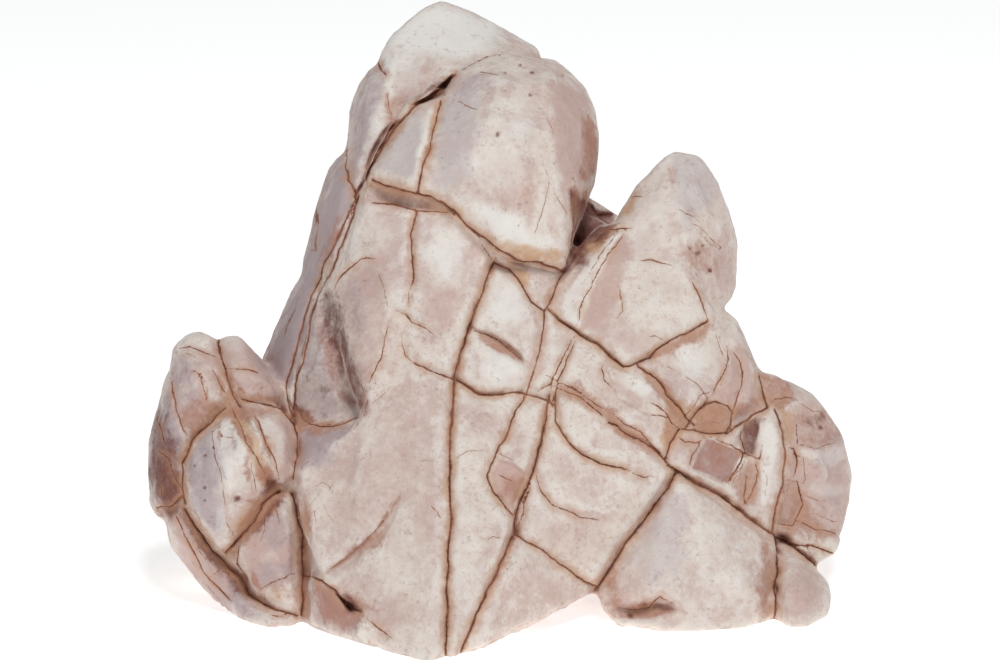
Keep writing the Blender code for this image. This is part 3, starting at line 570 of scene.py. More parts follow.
RIDGES = (
    # The crown, the wedge and the dome
    Ridge(1.8, 9, 8, ((-41, 118), (-42.5, 110), (-45, 101), (-47, 92), (-49.5, 84), (-54, 72))),
    Ridge(0.8, 6, 6, ((-20, 118), (-14, 112), (-10, 109))),
    Ridge(1.2, 8, 4, ((-29.5, 91), (-30.5, 82), (-32.5, 72), (-34.5, 60))),
    Ridge(1.0, 10, 12, ((-10, 102), (-9, 90), (-9, 78), (-11, 64))),
    Ridge(1.6, 10, 9, ((16, 106), (20, 94), (22, 80), (21, 64), (26, 46), (26, 30))),
    Ridge(1.0, 7, 6, ((19, 64), (16.5, 50), (12, 36))),
    Ridge(1.2, 5, 5, ((31, 92), (33, 80), (32, 66))),
    # The flank, the shoulder and the shelf under the hollow
    Ridge(1.2, 5, 6, ((-68, 66), (-73, 50), (-77, 34), (-83, 16))),
    Ridge(1.2, 6, 6, ((-80, 14), (-86, 0), (-91, -10))),
    Ridge(2.4, 7, 12, ((-53.5, -27), (-50, -14), (-46, -4), (-45, 8), (-45.5, 18), (-50, 29))),
    Ridge(1.8, 8, 7, ((-82, -58), (-76, -50), (-66, -44), (-60, -39.5), (-54.5, -33.5))),
    Ridge(1.4, 6, 6, ((-68, -92), (-74, -84), (-77, -74))),
    Ridge(1.6, 7, 6, ((-76, -98), (-68, -102), (-60, -112), (-50, -118))),
    # The body
    Ridge(0.8, 7, 5, ((-38, 47), (-38.5, 36), (-40, 24))),
    Ridge(0.8, 8, 7, ((-34, 0), (-28, -3), (-22, -8))),
    Ridge(0.8, 5, 8, ((-24, -30), (-26, -55), (-26, -85))),
    Ridge(1.0, 5, 8, ((26, -30), (29, -38), (38, -46), (52, -50))),
    Ridge(0.8, 6, 8, ((20, -60), (26, -66), (36, -70), (46, -71))),
    # The peak
    Ridge(1.6, 8, 6, ((30.5, 3), (33, 12), (39, 25), (45, 34), (51, 42))),
    Ridge(1.2, 7, 8, ((49, 6), (50, 14), (47, 22), (50, 32), (54, 44), (60, 58))),
    Ridge(1.4, 8, 8, ((56, 29), (64, 29.5), (72, 26), (78, 18), (82, 8))),
    Ridge(1.2, 8, 8, ((74, 68), (72, 54), (76, 42), (73, 28))),
    Ridge(0.8, 4, 4, ((80, 50), (86, 44), (91, 36))),
    # The blocks on the right
    Ridge(1.4, 4, 5, ((92, -5), (92.5, -13), (89, -22))),
    Ridge(1.4, 4, 5, ((98, -9), (99.5, -18), (98, -28))),
    Ridge(1.8, 4, 5, ((60, -14), (66, -20), (72, -28), (76, -34))),
    Ridge(1.2, 4, 4, ((56, -26), (64, -30), (71, -35))),
    Ridge(2.0, 5, 5, ((109, -32), (111.5, -42), (111, -55), (107, -70))),
    Ridge(1.4, 4, 4, ((98, -49), (95, -58), (91, -64))),
    Ridge(1.6, 8, 8, ((112, -31), (118, -28), (127, -26))),
    Ridge(1.4, 8, 9, ((118, -44), (127, -47), (138, -44))),
    Ridge(1.2, 6, 6, ((120, -66), (128, -70), (138, -70))),
    Ridge(1.6, 9, 7, ((97, -73), (104, -86), (105, -100), (102, -114))),
    Ridge(1.0, 12, 12, ((78, -64), (80, -80), (78, -96))),
    Ridge(1.4, 6, 8, ((46, -108), (50, -96), (58, -84))),
    # The left lobe
    Ridge(1.8, 9, 8, ((-113, -36), (-112, -48), (-109, -62), (-111, -74), (-108, -84))),
    Ridge(1.4, 6, 5, ((-90, -32), (-86, -42), (-86, -56))),
    Ridge(1.4, 7, 7, ((-126, -8), (-119, -14), (-117, -22), (-117, -33))),
    Ridge(1.2, 6, 6, ((-111, -3), (-104, -6), (-96, -16), (-92, -24))),
    Ridge(1.4, 6, 6, ((-87, -66), (-85, -80), (-84, -95), (-83, -108))),
    Ridge(1.4, 5, 5, ((-133, -20), (-132, -34), (-129, -46))),
    Ridge(1.2, 5, 5, ((-131, -78), (-124, -90), (-114, -102), (-104, -110))),
)

SIDE_JOINTS = (
    JointPlane(OPEN, (-14, 100, 60), (0.95, 0.1, 0.12), 150),
    JointPlane(OPEN, (36, 100, 70), (0.86, 0.2, 0.42), 120),
    JointPlane(WORN, (86, 80, 70), (0.8, 0.1, -0.5), 70),
    JointPlane(OPEN, (-60, 90, 80), (0.93, 0.2, -0.24), 90),
    JointPlane(OPEN, (0, 90, 62), (0.18, 0.2, 0.95), 130),
    JointPlane(WORN, (-40, 90, 126), (-0.25, 0.3, 0.9), 70),
    JointPlane(WORN, (30, 90, 150), (0.45, -0.2, 0.86), 55),
    JointPlane(FINE, (10, 100, 34), (-0.4, 0.1, 0.9), 60),
    JointPlane(FINE, (-50, 100, 30), (0.5, 0.1, 0.85), 55),
    JointPlane(WORN, (100, 60, 60), (0.3, 0.85, 0.3), 70),
    JointPlane(WORN, (120, 50, 50), (-0.3, 0.3, 0.9), 60),
    JointPlane(FINE, (120, 30, 40), (0.1, 0.95, -0.25), 50),
    JointPlane(WORN, (-110, 40, 60), (0.2, 0.9, 0.3), 60),
    JointPlane(WORN, (-120, 30, 40), (0.35, -0.2, 0.9), 50),
    JointPlane(FINE, (-90, 60, 90), (0.1, 0.8, 0.5), 50),
    JointPlane(WORN, (-20, 60, 200), (0.3, 0.9, 0.2), 60),
    JointPlane(FINE, (10, 60, 190), (0.9, -0.3, 0.2), 50),
    JointPlane(FINE, (-40, 100, 170), (0.7, 0.2, 0.65), 40),
    JointPlane(FINE, (80, 60, 120), (0.2, 0.5, 0.85), 40),
    JointPlane(FINE, (40, 100, 110), (0.7, 0.1, 0.7), 40),
)

PATCHES = (
    # The crown, the wedge and the dome
    Patch(MAUVE, 0.7, 2, ((-49, 112), (-45.5, 104), (-47, 95), (-50, 86), (-55, 70), (-60, 58),
                          (-64, 70), (-60, 98))),
    # Painted shade: these umber patches darken the gap between the crown and the dome, and its end
    # beside the wedge
    Patch(UMBER, 1.0, 1.0, ((-40, 84), (-43, 84), (-48, 77), (-53, 68), (-57, 58), (-55, 58), (-51, 66),
                            (-46, 74))),
    Patch(UMBER, 1.0, 0.8, ((-34, 91.5), (-30, 94), (-25, 98.5), (-20, 102), (-22, 95.5), (-27, 93))),
    Patch(UMBER, 0.75, 1.8, ((-37, 89), (-34, 95), (-27, 100), (-18, 104.5), (-19, 102), (-26, 97.5),
                             (-33, 92))),
    Patch(RUST, 0.9, 2.0, ((-41, 86), (-46, 92), (-44, 84), (-50, 76), (-46, 74), (-38, 84))),
    # Painted shade in the gully between the dome and the peak
    Patch(UMBER, 1.0, 1.5, ((28, 58), (38, 50), (47, 49), (42, 43), (34, 36), (27, 28), (29, 42))),
    Patch(LILAC, 0.8, 1.2, ((-51, 66), (-43, 79), (-33, 91), (-31, 80), (-34.5, 62))),
    Patch(LILAC, 0.8, 4, ((-24, 92), (-14, 104), (-6, 106), (-8, 88), (-12, 62), (-26, 56))),
    Patch(PINK, 0.9, 4, ((18, 102), (22, 76), (27, 40), (32, 60), (38, 76), (34, 96))),
    Patch(RUST, 0.9, 1.5, ((32, 62), (34, 84), (37, 78), (40, 70), (35, 60))),
    Patch(RUST, 0.7, 1.5, ((-50, 60), (-34, 56), (-20, 50), (-16, 46), (-33, 50), (-50, 53))),
    # The flank, the shoulder and the shelf
    Patch(MAUVE, 1.1, 2, ((-62, 76), (-60, 56), (-66, 35), (-78, 8), (-84, -22), (-98, -12), (-92, 6),
                          (-82, 20), (-78, 48))),
    Patch(LILAC, 1.0, 1.5, ((-60, 50), (-58, 52), (-70, 22), (-76, 2), (-80, -20), (-78, 2),
                            (-70, 26))),
    # Over the hollow, mauve that is partly the stone's colour and partly painted shade
    Patch(MAUVE, 0.35, 3, ((-75, 12), (-68, 16), (-62, -6), (-58, -24), (-66, -30), (-80, -26))),
    Patch(PINK, 0.7, 2, ((-66, 16), (-60, 26), (-50, 30), (-46, 18), (-46, -2), (-54, -22), (-60, -4))),
    Patch(LILAC, 0.5, 3, ((-60, 20), (-52, 24), (-48, 6), (-54, -14))),
    Patch(MAUVE, 0.9, 2, ((-82, -38), (-64, -38), (-54, -33), (-60, -40), (-72, -47), (-82, -58))),
    Patch(RUST, 0.8, 1.5, ((-83, -28), (-77, -30), (-72, -37), (-56, -33), (-72, -40), (-82, -40))),
    # Painted shade: the dark band along the shoulder's overhanging left side
    Patch(UMBER, 0.62, 2.6, ((-70, 16), (-66, 16), (-62, 4), (-59, -6), (-56, -16), (-54, -26),
                             (-55, -33), (-58, -30), (-63, -18), (-67, -6), (-72, 4))),
    Patch(RUST, 0.5, 2.5, ((-76, 14), (-66, 4), (-59, -14), (-55, -32), (-64, -32), (-72, -10))),
    # Over the hollow again, mauve that is partly the stone's colour and partly painted shade
    Patch(MAUVE, 0.6, 3, ((-78, 10), (-70, 14), (-60, -6), (-56, -32), (-70, -36), (-82, -30))),
    Patch(UMBER, 0.7, 1.6, ((-83, -28), (-79, -29), (-73, -36), (-79, -36))),
    # The body
    Patch(RUST, 0.7, 1.5, ((-12, 3), (-3, -1), (8, -7), (11, -12), (4, -10), (-6, -4))),
    Patch(RUST, 1.0, 1.6, ((-39, -63), (-43, -72), (-50, -81), (-60, -90), (-71, -97), (-64, -90),
                           (-54, -82), (-45, -72))),
    Patch(UMBER, 0.45, 1.2, ((-41, -66), (-46, -74), (-54, -83.5), (-64, -92), (-54, -82), (-45, -72))),
    Patch(PINK, 1.0, 1.5, ((-4, -57), (0, -50), (5, -51), (11, -56), (7, -66), (4, -72), (-2, -64))),
    Patch(MAUVE, 0.8, 3, ((-76, -99), (-66, -102), (-54, -111), (-57, -121), (-74, -115))),
    Patch(RUST, 0.9, 2, ((-76, -99), (-66, -102), (-56, -111), (-60, -120), (-72, -114))),
    # The peak
    Patch(PINK, 0.7, 3, ((31, 4), (34, 16), (42, 30), (48, 28), (49, 6), (42, -4))),
    Patch(OCHRE, 0.8, 2, ((24, 20), (30, 30), (40, 40), (50, 42), (42, 42), (32, 36))),
    Patch(PINK, 0.9, 1.0, ((32, 2), (37, 16), (43, 30), (49.5, 41), (53, 30), (49, 21), (47, 12),
                           (43, -1))),
    Patch(PALE, 0.2, 1.0, ((53, 29), (61, 30), (69, 27), (77, 19.5), (83, 5), (65, -4.5), (50, -13),
                           (43, -4), (46, 12), (49, 21))),
    Patch(PALE, 0.9, 0.8, ((25, 6), (31, 1), (37, 17), (43, 30), (49.5, 41), (44, 39), (34, 27),
                           (26, 15))),
    Patch(PALE, 0.45, 1.5, ((50, 42), (55, 54), (64, 68), (69, 72), (68, 56), (66, 32), (54, 31))),
    Patch(LILAC, 0.7, 2.0, ((70, 72), (82, 71), (88, 60), (87, 53), (80, 48), (74, 38), (69, 54))),
    Patch(RUST, 0.4, 0.8, ((73.5, 36), (80, 35), (90, 30), (87, 24.5), (80, 24.5), (75, 28))),
    Patch(PINK, 0.45, 3, ((72, 28), (84, 36), (94, 34), (94, 18), (86, 8), (82, 12))),
    Patch(RUST, 0.8, 1.2, ((56, -9), (68, -3), (83, 4), (82, 0), (70, -7), (60, -11))),
    # The blocks on the right
    Patch(RUST, 0.8, 1.5, ((56, -13), (64, -20), (73, -32), (76, -36), (68, -30), (58, -20))),
    Patch(RUST, 0.8, 2, ((76, -30), (86, -27), (94, -31), (90, -40), (74, -38))),
    Patch(PINK, 0.8, 2, ((86, -26), (92, -8), (98, -10), (107, -29), (96, -34))),
    Patch(MAUVE, 0.9, 0.8, ((82.5, -41.5), (97, -47.5), (91, -60), (77, -54))),
    Patch(RUST, 0.7, 0.8, ((82.5, -41.5), (97, -47.5), (91, -60), (77, -54))),
    Patch(PALE, 0.9, 0.7, ((106, -33), (111, -38), (110.5, -50), (108, -66), (105, -71), (104, -54),
                           (105, -42))),
    Patch(RUST, 0.6, 1.5, ((91, -60), (100, -50), (104, -56), (103, -70), (97, -70))),
    Patch(OCHRE, 0.8, 1.5, ((64, -21), (74, -30), (84, -27), (90, -31), (88, -38), (76, -37), (70, -46),
                            (66, -48), (64, -42), (69, -34))),
    Patch(RUST, 0.8, 1.5, ((66, -24), (76, -32), (88, -34), (84, -40), (74, -38), (68, -46),
                           (66, -40))),
    Patch(PALE, 0.8, 0.8, ((83, -41), (97, -47), (98.5, -49.5), (91.5, -63), (90, -61), (96, -49.5),
                           (82, -43))),
    Patch(UMBER, 0.9, 0.8, ((97, -36), (102, -33.5), (104, -38), (101, -49), (97, -46))),
    Patch(PINK, 0.7, 1.5, ((70, -42), (82, -42), (76, -54), (66, -49))),
    Patch(RUST, 0.8, 1.2, ((103, -16), (114, -18), (119, -27), (112, -31), (106.5, -28))),
    Patch(PINK, 0.8, 3, ((112, -30), (128, -26), (140, -44), (142, -60), (136, -84), (116, -80),
                         (112, -60), (115, -46))),
    Patch(RUST, 0.45, 2, ((118, -33), (131, -31), (137, -41), (126, -46), (119, -44))),
    Patch(RUST, 0.6, 2, ((112, -80), (122, -74), (138, -80), (124, -84))),
    Patch(PALE, 0.6, 1.0, ((119, -46), (126, -47), (137, -44), (140, -50), (132, -54), (121, -50))),
    Patch(OCHRE, 0.6, 1.5, ((112, -30), (118, -30), (118, -42), (114, -46))),
    Patch(PALE, 0.5, 1.5, ((122, -64), (132, -66), (138, -64), (138, -60), (124, -60))),
    Patch(RUST, 0.7, 1.5, ((24, -20), (44, -30), (66, -49), (70, -56), (58, -44), (40, -33),
                           (22, -24))),
    Patch(LILAC, 0.7, 5, ((66, -60), (76, -66), (74, -96), (60, -104), (50, -92))),
    Patch(PALE, 0.4, 4, ((78, -66), (96, -78), (100, -96), (94, -110), (76, -112), (74, -90))),
    Patch(RUST, 0.7, 2.5, ((103, -80), (109, -82), (109, -114), (102, -113), (105, -98))),
    Patch(RUST, 0.8, 1.5, ((46, -110), (58, -111), (68, -107), (71, -111), (62, -115), (48, -115))),
    Patch(RUST, 0.7, 3, ((40, -98), (48, -92), (47, -104), (52, -114), (44, -114))),
    # The left lobe
    Patch(PALE, 0.6, 2, ((-118, -44), (-108, -32), (-98, -32), (-86, -38), (-86, -52), (-93, -62),
                         (-106, -66), (-113, -58))),
    Patch(OCHRE, 0.8, 1.5, ((-109, -30), (-104, -29), (-97, -42), (-92, -56), (-90, -64), (-95, -62),
                            (-101, -48))),
    Patch(UMBER, 0.95, 2.5, ((-127, -62), (-122, -76), (-108, -94), (-102, -100), (-100, -108),
                             (-106, -104), (-118, -90), (-128, -74))),
    Patch(UMBER, 0.85, 2.0, ((-110, -88), (-98, -74), (-88, -62), (-84, -60), (-86, -66), (-96, -78),
                             (-106, -89))),
    Patch(UMBER, 0.6, 1.6, ((-127, -54), (-120, -40), (-110, -30), (-112, -28), (-124, -40),
                            (-130, -52))),
    Patch(PINK, 0.9, 4, ((-134, -44), (-128, -66), (-120, -80), (-104, -100), (-108, -112), (-128, -92),
                         (-136, -72))),
    Patch(UMBER, 0.8, 3, ((-141, -30), (-134, -26), (-130, -44), (-128, -66), (-136, -70),
                          (-143, -60))),
    Patch(MAUVE, 0.6, 3, ((-132, -8), (-122, -12), (-118, -30), (-124, -42), (-128, -50), (-136, -30))),
    Patch(PINK, 0.8, 3, ((-122, -6), (-100, -2), (-88, -20), (-84, -30), (-104, -24), (-116, -14))),
    Patch(PINK, 0.9, 3, ((-84, -34), (-92, -34), (-88, -48), (-90, -60), (-84, -62), (-80, -46))),
    Patch(LILAC, 0.8, 1.5, ((-125, -50), (-116, -38), (-112, -50), (-110, -70), (-110, -86),
                            (-124, -70))),
    Patch(MAUVE, 0.7, 2.5, ((-126, -52), (-117, -42), (-113, -58), (-113, -80), (-124, -70))),
    Patch(RUST, 0.9, 2.5, ((-127, -36), (-117, -30), (-108, -24), (-96, -24), (-84, -30), (-98, -28),
                           (-110, -29), (-122, -42))),
    Patch(MAUVE, 1.0, 2, ((-140, -26), (-132, -22), (-127, -44), (-126, -66), (-134, -72),
                          (-142, -60))),
    Patch(RUST, 0.7, 2.5, ((-139, -46), (-130, -50), (-127, -64), (-132, -70), (-140, -62))),
    Patch(PINK, 0.8, 3, ((-104, -60), (-92, -50), (-86, -62), (-90, -70), (-102, -72))),
    Patch(PINK, 0.9, 1.2, ((-100, -78), (-92, -68), (-86, -76), (-84, -97), (-98, -102), (-103, -88))),
    Patch(RUST, 0.5, 2, ((-108, -82), (-100, -70), (-90, -62), (-88, -70), (-100, -82))),
    Patch(LILAC, 0.9, 3, ((-134, -76), (-120, -80), (-104, -98), (-100, -116), (-120, -104))),
    Patch(RUST, 0.8, 1.5, ((-82, -64), (-78, -76), (-76, -96), (-77, -112), (-80, -112), (-81, -84))),
)

TINT_SPOTS = (
    # The crown and its flank
    TintSpot(MAUVE, -55, 84, 7, 28, 0.4, 8),
    TintSpot(PINK, -33, 102, 9, 15, 0.45, -30),
    TintSpot(PINK, -18, 114, 5, 4, 0.5),
    TintSpot(PALE, -22, 120, 26, 11, 1.2),
    TintSpot(PALE, -36, 108, 7, 12, 0.6, -20),
    TintSpot(PALE, -45, 104, 3, 18, 0.8, 12),
    TintSpot(PALE, -50, 84, 2.5, 18, 0.7, 12),
    TintSpot(RUST, -42, 90, 3, 9, 0.6, -30),
    # The dome
    TintSpot(MAUVE, -12, 100, 12, 6, 0.5),
    TintSpot(PALE, 2, 44, 20, 6, 1.0, -30),
    TintSpot(PALE, 16, 36, 8, 5, 0.8, -10),
    TintSpot(PALE, 14, 48, 6, 12, 0.5),
    TintSpot(PINK, 6, 60, 12, 16, 0.6),
    TintSpot(PINK, 14, 96, 10, 10, 0.5),
    TintSpot(PALE, -2, 66, 14, 12, 0.5, -30),
    TintSpot(PALE, 8, 88, 7, 14, 0.6),
    TintSpot(PINK, 28, 80, 8, 26, 0.7),
    TintSpot(RUST, 37, 74, 3.5, 16, 1.0, 12),
    TintSpot(RUST, 12, 52, 4, 12, 0.5),
    TintSpot(OCHRE, 12, 32, 16, 4, 0.9, -12),
    TintSpot(RUST, 33, 55, 4, 6, 0.8),
    # Along the wedge's lit right bevel, pale and ochre that are partly the stone's colour and partly
    # painted highlight
    TintSpot(PALE, -31, 72, 2.5, 16, 0.8, -12),
    TintSpot(OCHRE, -27.5, 80, 1.8, 16, 0.7, -12),
    TintSpot(RUST, -42, 56, 10, 2.6, 0.8, -12),
    TintSpot(RUST, -24, 51, 8, 2, 0.8, -18),
    # The flank, the hollow and the shoulder
    TintSpot(MAUVE, -70, 44, 9, 34, 1.2, -22),
    TintSpot(MAUVE, -86, 2, 11, 24, 1.0, -22),
    TintSpot(RUST, -67, 37, 2.2, 14, 0.7, -24),
    TintSpot(OCHRE, -71, 23, 2, 12, 0.7, -22),
    TintSpot(PALE, -72, 14, 1.4, 16, 0.6, -20),
    # Painted shade of the band beside the shoulder
    TintSpot(UMBER, -67, 6, 3.4, 12, 0.45, 14),
    TintSpot(UMBER, -59, -18, 3.6, 16, 0.7, 20),
    TintSpot(RUST, -79, -34, 6, 5, 1.0, -30),
    TintSpot(RUST, -70, -38, 12, 3, 0.8, 6),
    TintSpot(UMBER, -76, -18, 3, 2, 0.5),
    TintSpot(UMBER, -70, -23, 2.4, 2, 0.5),
    TintSpot(PINK, -55, 8, 8, 24, 0.6, 16),
    TintSpot(MAUVE, -58, 10, 5, 18, 0.4, 16),
    TintSpot(PINK, -48, 24, 7, 16, 0.7, 10),
    TintSpot(PINK, -44, -6, 6, 20, 0.5),
    TintSpot(PALE, -48, 42, 10, 8, 0.4),
    TintSpot(MAUVE, -74, -47, 10, 8, 0.9),
    TintSpot(PINK, -62, -56, 14, 10, 0.55),
    TintSpot(RUST, -54, -28, 3, 7, 0.5),
    # The body
    TintSpot(PALE, -22, 32, 9, 14, 0.8),
    TintSpot(PINK, -24, 10, 8, 12, 0.8),
    TintSpot(PINK, -46, 40, 8, 12, 0.4),
    TintSpot(PALE, 2, 12, 9, 12, 0.9),
    TintSpot(PALE, 0, -14, 10, 7, 0.9, -20),
    TintSpot(PINK, -30, -2, 8, 8, 0.5),
    TintSpot(PINK, -36, -34, 16, 20, 0.45),
    TintSpot(PINK, -44, -56, 18, 16, 0.6, 30),
    TintSpot(PINK, -28, -68, 8, 26, 0.6),
    TintSpot(PINK, -56, -70, 14, 16, 0.6, 30),
    TintSpot(RUST, -52, -83, 12, 2.6, 0.7, 40),
    TintSpot(PALE, -40, -96, 14, 12, 0.3),
    TintSpot(PINK, -44, -112, 18, 8, 0.6),
    TintSpot(RUST, 1, -7, 12, 2.2, 0.8, -30),
    TintSpot(RUST, 6, -62, 5.5, 8, 0.8, 20),
    TintSpot(PINK, -6, -40, 10, 14, 0.4),
    TintSpot(PALE, -12, -92, 6, 30, 0.4),
    TintSpot(PALE, 38, -62, 18, 10, 0.3, -10),
    TintSpot(PINK, 30, -84, 20, 9, 0.4, -20),
    TintSpot(PINK, 18, -102, 18, 8, 0.5, -20),
    TintSpot(RUST, -62, -111, 10, 8, 1.0),
    # Painted shade in the hole at the foot
    TintSpot(UMBER, -61, -108, 5, 2.4, 1.0, -40),
    TintSpot(UMBER, -57, -116, 2.4, 4, 0.6),
    TintSpot(PALE, 22, -4, 5, 14, 0.4, 12),
    TintSpot(OCHRE, 6, 23, 8, 2.4, 0.9, -42),
    # The peak
    TintSpot(RUST, 70, 62, 3, 5, 0.5),
    TintSpot(PINK, 54, -2, 12, 8, 0.6),
    TintSpot(PALE, 60, 48, 6, 12, 0.6, -30),
    TintSpot(PALE, 74, 8, 7, 8, 0.5),
    TintSpot(PINK, 60, 36, 8, 5, 0.6),
    TintSpot(PINK, 84, 36, 10, 22, 0.3),
    TintSpot(RUST, 78, 33, 6, 5, 0.7),
    TintSpot(RUST, 84, 26, 5, 4, 0.5),
    TintSpot(OCHRE, 38, 36, 13, 4, 1.0, 42),
    TintSpot(OCHRE, 51, 51, 8, 3, 0.8, 50),
    TintSpot(PINK, 39, 26, 2, 20, 0.7, -38),
    TintSpot(RUST, 76, -1, 11, 3.2, 0.9, 24),
    # Painted shade in the gully between the dome and the peak
    TintSpot(UMBER, 38, 43, 9, 8, 1.0),
    TintSpot(UMBER, 32, 36, 4, 12, 0.9),
    # The blocks on the right
    TintSpot(RUST, 66, -24, 3, 13, 1.0, 38),
    TintSpot(RUST, 84, -37, 11, 5, 0.9),
    TintSpot(OCHRE, 84, -36, 9, 5, 0.7),
    TintSpot(PINK, 96, -16, 8, 16, 0.9),
    TintSpot(RUST, 98, -30, 9, 4, 0.7, 30),
    TintSpot(PALE, 76, -12, 9, 7, 0.8),
    TintSpot(PALE, 55, -22, 10, 5, 0.8, -34),
    TintSpot(PALE, 52, -33, 6, 3, 0.5),
    TintSpot(MAUVE, 86, -50, 10, 8, 0.9),
    TintSpot(RUST, 90, -56, 6, 4, 0.7),
    TintSpot(UMBER, 100, -41, 3.0, 9, 0.8, -20),
    TintSpot(RUST, 48, -36, 26, 3.2, 0.9, -38),
    TintSpot(PINK, 46, -24, 16, 10, 0.5, -30),
    TintSpot(PINK, 104, -58, 9, 18, 0.5),
    TintSpot(PINK, 124, -50, 18, 34, 0.8),
    TintSpot(MAUVE, 134, -50, 8, 30, 0.4),
    TintSpot(RUST, 109, -23, 6, 7, 0.8),
    TintSpot(RUST, 116, -72, 10, 12, 0.7),
    TintSpot(UMBER, 127, -34, 6, 2.4, 0.5, 20),
    TintSpot(PINK, 52, -104, 14, 10, 0.5),
    TintSpot(RUST, 106, -100, 4, 18, 0.8),
    TintSpot(RUST, 58, -112, 13, 4, 0.8),
    TintSpot(UMBER, 60, -110, 8, 2.4, 0.7, 16),
    TintSpot(PINK, 121, -104, 11, 16, 0.8),
    # The left lobe
    TintSpot(RUST, -103.5, -40, 1.3, 13, 1.0, 30),
    TintSpot(RUST, -95, -42, 1.4, 12, 1.0, 22),
    TintSpot(RUST, -93, -58, 4, 7, 1.0, 20),
    TintSpot(UMBER, -91, -62, 3, 4, 1.0, 20),
    TintSpot(RUST, -107, -22, 1.2, 8, 1.0, 16),
    TintSpot(RUST, -112, -20, 1.1, 7, 0.9, 24),
    TintSpot(UMBER, -105.5, -42, 0.9, 9, 0.6, 3),
    TintSpot(RUST, -99.5, -55, 1.0, 13, 0.9, 9),
    TintSpot(UMBER, -97.5, -41, 0.9, 10, 0.6, 25),
    TintSpot(RUST, -112, -41, 0.9, 6, 0.8, 13),
    TintSpot(RUST, -104, -22, 0.9, 6, 0.9, 12),
    TintSpot(RUST, -116.5, -27, 1.0, 9, 0.9, 0),
    TintSpot(RUST, -99, -67.5, 5, 1.2, 0.9, 5),
    TintSpot(OCHRE, -101, -73, 4, 9, 0.8, -40),
    TintSpot(RUST, -122, -34, 3, 8, 0.9, 10),
    TintSpot(RUST, -132, -54, 1.6, 12, 1.0, 12),
    TintSpot(UMBER, -130, -62, 2, 6, 1.0, 12),
    TintSpot(RUST, -119, -84, 2, 13, 0.9, 38),
    TintSpot(UMBER, -103, -99, 3, 4, 1.0),
    TintSpot(UMBER, -94, -109, 8, 2, 0.8, -30),
    TintSpot(RUST, -98, -100, 2, 6, 0.9, 10),
    TintSpot(RUST, -108, -31, 20, 4.5, 0.9, -6),
    TintSpot(RUST, -124, -34, 6, 8, 0.9),
    TintSpot(MAUVE, -118, -56, 8, 24, 0.7),
    TintSpot(PALE, -101, -44, 7, 12, 0.5),
    TintSpot(PINK, -90, -44, 5, 14, 0.6),
    TintSpot(UMBER, -91, -63, 6, 4, 0.95, 30),
    TintSpot(RUST, -97, -72, 5, 12, 1.0, -40),
    TintSpot(MAUVE, -90, -76, 9, 12, 0.7),
    TintSpot(MAUVE, -90, -97, 10, 8, 0.8),
    TintSpot(PINK, -90, -92, 12, 12, 0.9),
    TintSpot(OCHRE, -89, -104, 7, 6, 0.5),
    TintSpot(UMBER, -132, -66, 6, 9, 1.0),
    TintSpot(PINK, -120, -18, 14, 14, 0.6),
    TintSpot(PINK, -98, -16, 12, 10, 0.6),
    TintSpot(PALE, -104, -6, 8, 4, 0.4),
    TintSpot(RUST, -78, -90, 3.4, 28, 1.0),
    TintSpot(MAUVE, -136, -44, 7, 30, 1.0),
    TintSpot(UMBER, -137, -54, 4, 12, 0.6),
    TintSpot(PINK, -118, -94, 14, 14, 0.8, 40),
    TintSpot(MAUVE, -108, -108, 14, 8, 0.7, -30),
)

# Small holes of the front, dug into the skin, with painted shade inside them
PITS = (
    Pit(-1, 79.5, 1.0, 0.8), Pit(8, 107, 0.8, 0.7), Pit(2, 104, 0.7, 0.6), Pit(13, 104, 0.8, 0.7),
    Pit(12, 95, 0.7, 0.6), Pit(2, 97, 0.6, 0.5), Pit(25, 103, 0.8, 0.7), Pit(76, 34, 1.0, 0.9),
    Pit(79, 32, 1.2, 1.0), Pit(81, 35, 0.8, 0.8), Pit(84, 25, 1.0, 0.9), Pit(-105, -66, 1.4, 1.2),
    Pit(-118, -49, 0.8, 0.7), Pit(-122, -53, 0.8, 0.7), Pit(-118, -62, 0.8, 0.7),
    Pit(-118, -67, 0.7, 0.6), Pit(-60, -110, 2.2, 2.4), Pit(-90, -62, 1.8, 1.6),
    Pit(58, -109, 1.4, 1.2), Pit(52, -113, 1.2, 1.0), Pit(128, -38, 1.2, 0.8),
)


def nearest_on(line: tuple, spots: np.ndarray) -> tuple[np.ndarray, np.ndarray, np.ndarray]:
    """The steps from each spot to the nearest point of the line, and how the spot lies to it.

    Args:
        line: The corners of the line.
        spots: The points of the view.

    Returns:
        The steps, the distances along the line to its nearer end, and whether each spot lies to
        the left of the line.
    """
    corners = np.array(line, float)
    lengths = np.linalg.norm(np.diff(corners, axis=0), axis=1)
    starts = np.concatenate(((0,), np.cumsum(lengths)))
    best = np.full(len(spots), np.inf)
    steps = np.zeros((len(spots), 2))
    ends = np.zeros(len(spots))
    left = np.zeros(len(spots), bool)
    for first, last, length, start in zip(corners[:-1], corners[1:], lengths, starts):
        along = (last - first) / length
        share = np.clip((spots - first) @ along, 0, length)
        step = first + share[:, None] * along - spots
        distance = np.hypot(step[:, 0], step[:, 1])
        closer = distance < best
        best[closer] = distance[closer]
        steps[closer] = step[closer]
        ends[closer] = np.minimum(start + share, starts[-1] - start - share)[closer]
        left[closer] = (step[:, 0] * along[1] > step[:, 1] * along[0])[closer]
    return steps, ends, left


